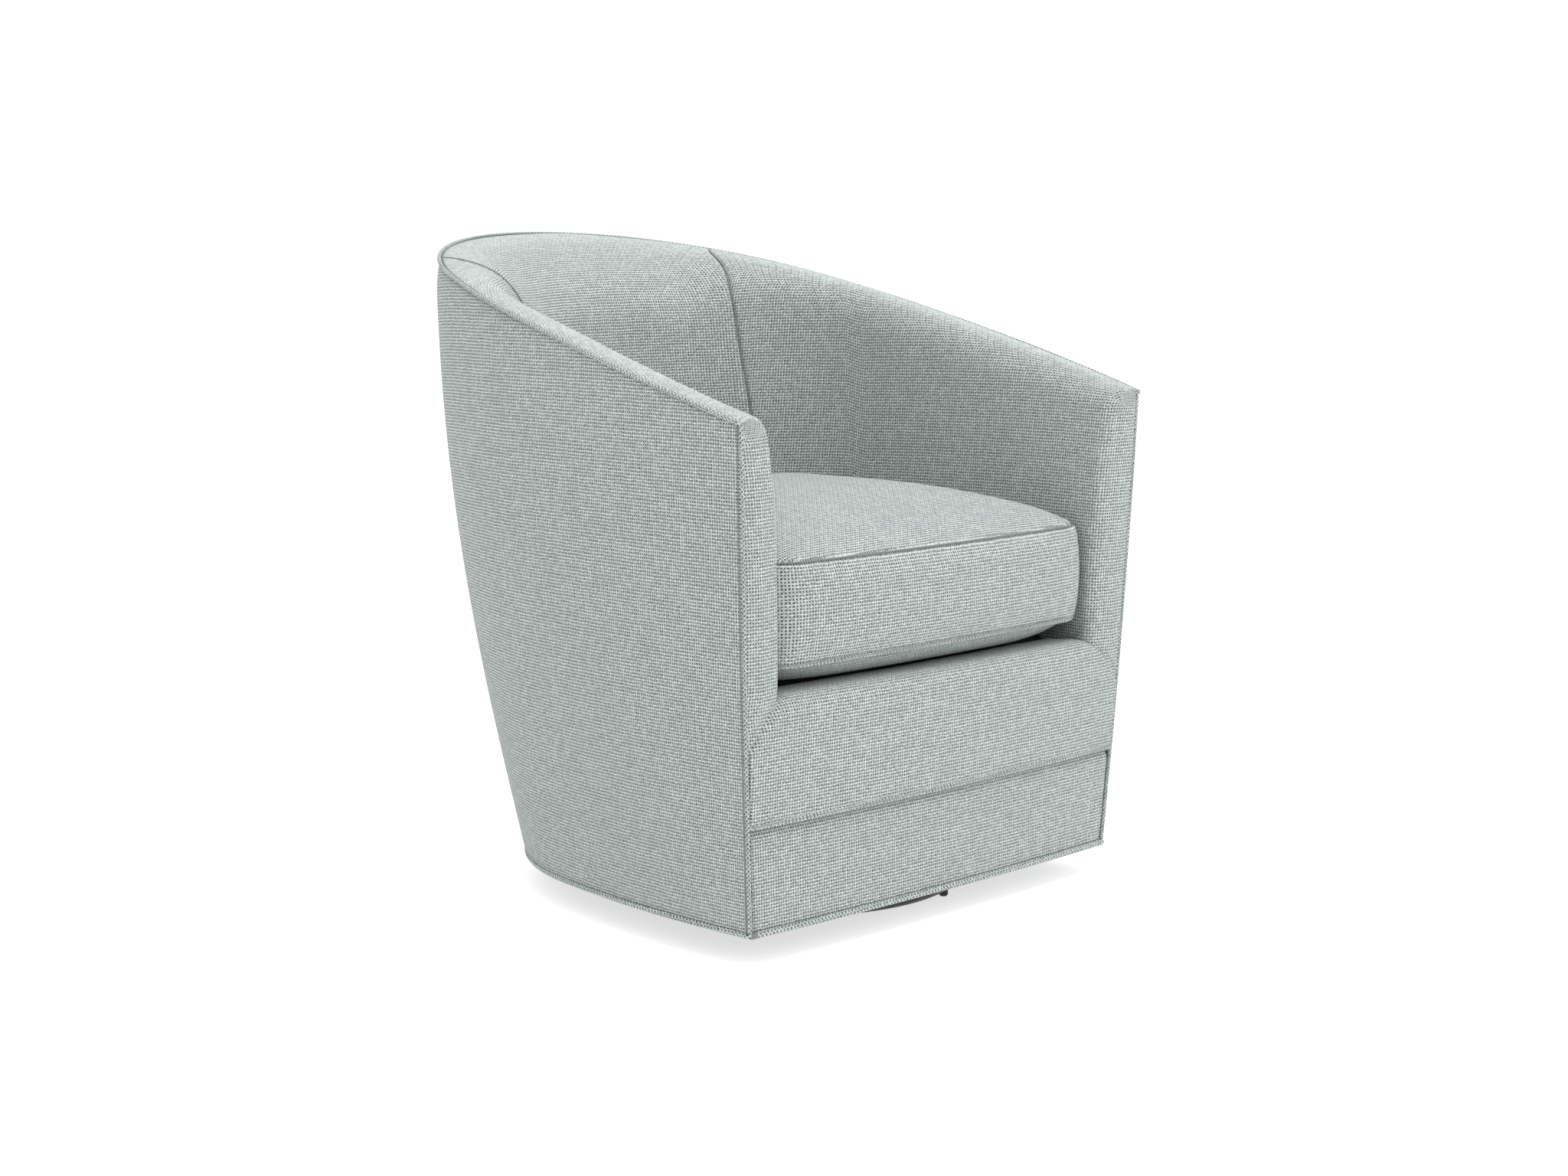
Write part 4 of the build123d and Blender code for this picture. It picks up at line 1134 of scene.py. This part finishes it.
# %% Tree of a bias-cut cord
cord_tree, cord_in, cord_ids = new_tree(
    "bias-cut cord on a path",
    (("Path", "NodeSocketGeometry"), ("Sides", "NodeSocketInt"), ("Cloth", "NodeSocketMaterial")),
)
run_length = add(cord_tree, "GeometryNodeSplineParameter").outputs["Length"]
kept_path = add(cord_tree, "GeometryNodeCaptureAttribute", None, {0: cord_in.outputs["Path"]})
kept_path.capture_items.new("FLOAT", "run")
cord_tree.links.new(run_length, kept_path.inputs[1])
ring_inputs = {"Resolution": cord_in.outputs["Sides"], "Radius": 1.0}
ring_curve = add(cord_tree, "GeometryNodeCurvePrimitiveCircle", None, ring_inputs)
kept_ring = add(cord_tree, "GeometryNodeCaptureAttribute", None, {0: ring_curve.outputs[0]})
kept_ring.capture_items.new("FLOAT", "girth")
cord_tree.links.new(add(cord_tree, "GeometryNodeSplineParameter").outputs["Factor"], kept_ring.inputs[1])
radius = add(cord_tree, "GeometryNodeInputRadius").outputs[0]
sweep_inputs = {"Curve": kept_path.outputs[0], "Profile Curve": kept_ring.outputs[0]}
sweep_inputs.update({"Scale": radius, "Fill Caps": True})
swept = add(cord_tree, "GeometryNodeCurveToMesh", None, sweep_inputs)
girth = add(
    cord_tree, "ShaderNodeMath", {"operation": "MULTIPLY"}, {0: kept_ring.outputs[1], 1: 0.018}
).outputs[0]
path_run = kept_path.outputs[1]
bias_u = add(cord_tree, "ShaderNodeMath", {"operation": "ADD"}, {0: path_run, 1: girth}).outputs[0]
bias_v = add(cord_tree, "ShaderNodeMath", {"operation": "SUBTRACT"}, {0: path_run, 1: girth}).outputs[0]
bias = add(cord_tree, "ShaderNodeCombineXYZ", None, {0: bias_u, 1: bias_v}).outputs[0]
bias_uv = add(
    cord_tree, "ShaderNodeVectorMath", {"operation": "SCALE"}, {0: bias, "Scale": math.sqrt(0.5)}
).outputs[0]
mapped = add(
    cord_tree,
    "GeometryNodeStoreNamedAttribute",
    {"data_type": "FLOAT2", "domain": "CORNER"},
    {"Geometry": swept.outputs[0], "Name": "UVMap", "Value": bias_uv},
).outputs[0]
rounded = add(cord_tree, "GeometryNodeSetShadeSmooth", None, {0: mapped}).outputs[0]
real = add(cord_tree, "GeometryNodeRealizeInstances", None, {0: rounded}).outputs[0]
dressed = add(
    cord_tree, "GeometryNodeSetMaterial", None, {"Geometry": real, "Material": cord_in.outputs["Cloth"]}
).outputs[0]
add(cord_tree, "NodeGroupOutput", None, {0: dressed})
print(cord_tree.name, len(cord_tree.nodes), "nodes")

# %% Welts of the tub
top_cord, front_cord, skirt_cord, rail_cord = 0.0025, 0.0025, 0.0038, 0.0034
top_z_line = top_height(cover_u) - 0.0018
edge_place, edge_way = along(skin_marks(top_z_line, part_skin), cover_u)
edge_in = np.stack([edge_way[:, 1], -edge_way[:, 0]], -1) * np.where(cover_u < 0, -1.0, 1.0)[:, None]
top_line = np.concatenate([edge_place - edge_in * 0.0013, top_z_line[:, None]], -1)

drop_z = np.linspace(arm_top - 0.0018, 0.0395, 120)
front_corner = skin_marks(drop_z, part_skin)[:, 3]
right_line = np.stack([front_corner[:, 0] - 0.0015, front_corner[:, 1] + 0.0015, drop_z], -1)
mirror = np.array([-1.0, 1.0, 1.0])
left_line = right_line * mirror

skirt_z = 0.036
skirt_marks = skin_marks(skirt_z, part_skin)
skirt_place, skirt_way = along(skirt_marks, cover_u)
skirt_in = np.stack([skirt_way[:, 1], -skirt_way[:, 0]], -1) * np.where(cover_u < 0, -1.0, 1.0)[:, None]
skirt_round = skirt_place + skirt_in * 0.0025
nose_x = np.linspace(skirt_round[-1, 0], -skirt_round[-1, 0], 100)[1:-1]
nose_y = skirt_round[-1, 1] - kick_bow * (1 - (nose_x / skirt_round[-1, 0]) ** 2)
skirt_plan = np.concatenate([skirt_round, np.stack([nose_x, nose_y], -1)])
skirt_line = np.concatenate([skirt_plan, np.full((len(skirt_plan), 1), skirt_z)], -1)

rail_z = np.full(len(rail_across), 0.1583)
rail_y = rail_front(rail_across, rail_z) + 0.0008 + 0.0035 * ease(np.abs(rail_across), 0.975, 1.0)
rail_line = np.stack([rail_half(rail_z) * rail_across, rail_y, rail_z], -1)
tub_paths = [
    (top_line, top_cord, False),
    (right_line, front_cord, False),
    (left_line, front_cord, False),
    (skirt_line, skirt_cord, True),
    (rail_line, rail_cord, False),
]
cord_values = {"Sides": 14, "Cloth": fabric}
tub_welts = grown(path_object("tub_paths", tub_paths), cord_tree, cord_ids, cord_values, "tub_welts")
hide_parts("top_welt", "right_front_welt", "left_front_welt", "bottom_welt", "rail_welt")
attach(tub_welts, "chair")
print("welts", len(tub_welts.data.polygons), "faces")

# %% Cord of the cushion's lower seam
def round_cushion(out, z):
    """A closed line round the cushion, outside its outline by some distance and at one height."""
    return np.concatenate([rim_plan + rim_out * out, np.full((len(rim_plan), 1), z)], -1)


cushion_cord = grown(
    path_object("cushion_paths", [(round_cushion(0.0024, seam_low), 0.0026, True)]),
    cord_tree,
    cord_ids,
    cord_values,
    "cushion_seam_cord",
)
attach(cushion_cord, "cushion")
print("cushion cord", len(cushion_cord.data.polygons), "faces")

# %% [markdown]
# ## Painted shade in the seams
# Where two cloths are sewn together the seam lies in a narrow groove, whose shade reads as a fine dark
# line. Thin dark cords paint that shade: the same tree lays them on both sides of the top welt, beside
# the front welts, under the rail's welt, in the two back seams and in both seams of the cushion.

# %% Painted seam shade
shadow_line_radius, back_shadow_line_radius = 0.0009, 0.0007
under_top = np.concatenate([edge_place + edge_in * 0.0006, top_z_line[:, None] - 0.0028], -1)
inside_top = np.concatenate([edge_place + edge_in * 0.0026, top_z_line[:, None] + 0.0004], -1)
beside_front = right_line + np.array([0.0026, 0.0030, 0.0])
under_rail = rail_line + np.array([0.0, 0.0014, -0.0038])
# The left seam lies where the arm's top hides its groove, so its dark line of painted shade is laid higher
seam_lift = ease(pad_rows, 0.04, 0.2)[1:, None, None] * np.array([0.0006, -0.0014])[None, :, None]
back_seams = seam_lines[1:] + seam_out[1:] * seam_lift
tub_shadow_lines = [under_top, inside_top, beside_front, beside_front * mirror, under_rail]
tub_shadow_lines = [(line, shadow_line_radius, False) for line in tub_shadow_lines]
tub_shadow_lines += [(line, back_shadow_line_radius, False) for line in back_seams.swapaxes(0, 1)]
cushion_shadow_lines = [
    (round_cushion(0.0014, seam_high + 0.0010), shadow_line_radius, True),
    (round_cushion(0.0012, seam_low - 0.0028), shadow_line_radius, True),
]
# These cords are painted shade: dark lines where the seams and welts lie in shade
shadow_line_values = {"Sides": 8, "Cloth": painted_seam_shade}
for name, body, paths in (
    ("tub_seam_shadow_line", "chair", tub_shadow_lines),
    ("cushion_seam_shadow_line", "cushion", cushion_shadow_lines),
):
    shadow_line_object = grown(path_object(name + "_paths", paths), cord_tree, cord_ids, shadow_line_values, name)
    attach(shadow_line_object, body)
    print(name, len(shadow_line_object.data.polygons), "faces")

# %% Staples of the dust cover
staple_tree, staple_in, staple_ids = new_tree(
    "staples along a path",
    (
        ("Path", "NodeSocketGeometry"),
        ("Spacing", "NodeSocketFloat"),
        ("Crown", "NodeSocketVector"),
        ("Wire", "NodeSocketMaterial"),
    ),
)
spots = add(
    staple_tree,
    "GeometryNodeCurveToPoints",
    {"mode": "LENGTH"},
    {"Curve": staple_in.outputs["Path"], "Length": staple_in.outputs["Spacing"]},
)
crown = add(staple_tree, "GeometryNodeMeshCube", None, {"Size": staple_in.outputs["Crown"]}).outputs[0]
aim = add(
    staple_tree, "FunctionNodeAlignEulerToVector", {"axis": "X"}, {"Vector": spots.outputs["Tangent"]}
).outputs[0]
shot = add(
    staple_tree,
    "GeometryNodeInstanceOnPoints",
    None,
    {"Points": spots.outputs["Points"], "Instance": crown, "Rotation": aim},
).outputs[0]
real = add(staple_tree, "GeometryNodeRealizeInstances", None, {0: shot}).outputs[0]
dressed = add(
    staple_tree, "GeometryNodeSetMaterial", None, {"Geometry": real, "Material": staple_in.outputs["Wire"]}
).outputs[0]
add(staple_tree, "NodeGroupOutput", None, {0: dressed})
staple_plan = dust_line + (np.array([0.0, swivel_y]) - dust_line) * 0.03
staple_line = np.concatenate([staple_plan, np.full((len(staple_plan), 1), dust_top - 0.0007)], -1)
staples = grown(
    path_object("staple_path", [(staple_line, 1.0, True)]),
    staple_tree,
    staple_ids,
    {"Spacing": 0.04, "Crown": (0.011, 0.0013, 0.0007), "Wire": zinc_steel},
    "dust_cover_staples",
)
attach(staples, "chair")
print("staples", len(staples.data.polygons), "faces")

# %% [markdown]
# ## Finishes of the pieces that stay
# The base, the swivel and the frame keep the part's own shapes. Each gets its finish by name. Beech
# shows its grain along the length of each member, so posts and rails take different turns of it.

# %% Finish the part's own pieces
finishes = {
    "base_ring": black_steel,
    "base_cross": black_steel,
    "floor_glides": glide_plastic,
    "swivel_lower_plate": black_steel,
    "swivel_upper_plate": black_steel,
    "pivot_rivet": zinc_steel,
    "ball_cage": cage_plastic,
    "bearing_balls": ball_steel,
    "upper_plate_bolts": zinc_steel,
    "t_nuts": zinc_steel,
    "lower_plate_bolts": zinc_steel,
    "lower_plate_nuts": zinc_steel,
    "rail_screws": zinc_steel,
    "bottom_board": birch_ply,
    "outer_panel": fibreboard,
    "seat_straps_lengthwise": jute_web,
    "seat_straps_crosswise": jute_web,
    "corner_blocks": beech_up,
    "centre_back_post": beech_up,
    "centre_back_foot": beech_up,
    "rear_seat_rail": beech_across,
    "back_top_rail": beech_across,
    "front_lower_rail": beech_across,
    "front_seat_rail": beech_across,
    "cushion_zip": zip_plastic,
}
for side in ("left_", "right_"):
    finishes[side + "front_post"] = beech_up
    finishes[side + "back_post"] = beech_up
    finishes[side + "side_rail"] = beech_along
    finishes[side + "arm_rail"] = beech_along
for name, material in finishes.items():
    for slot in nodes[name].material_slots:
        slot.material = material
print(len(finishes), "of the part's nodes finished")
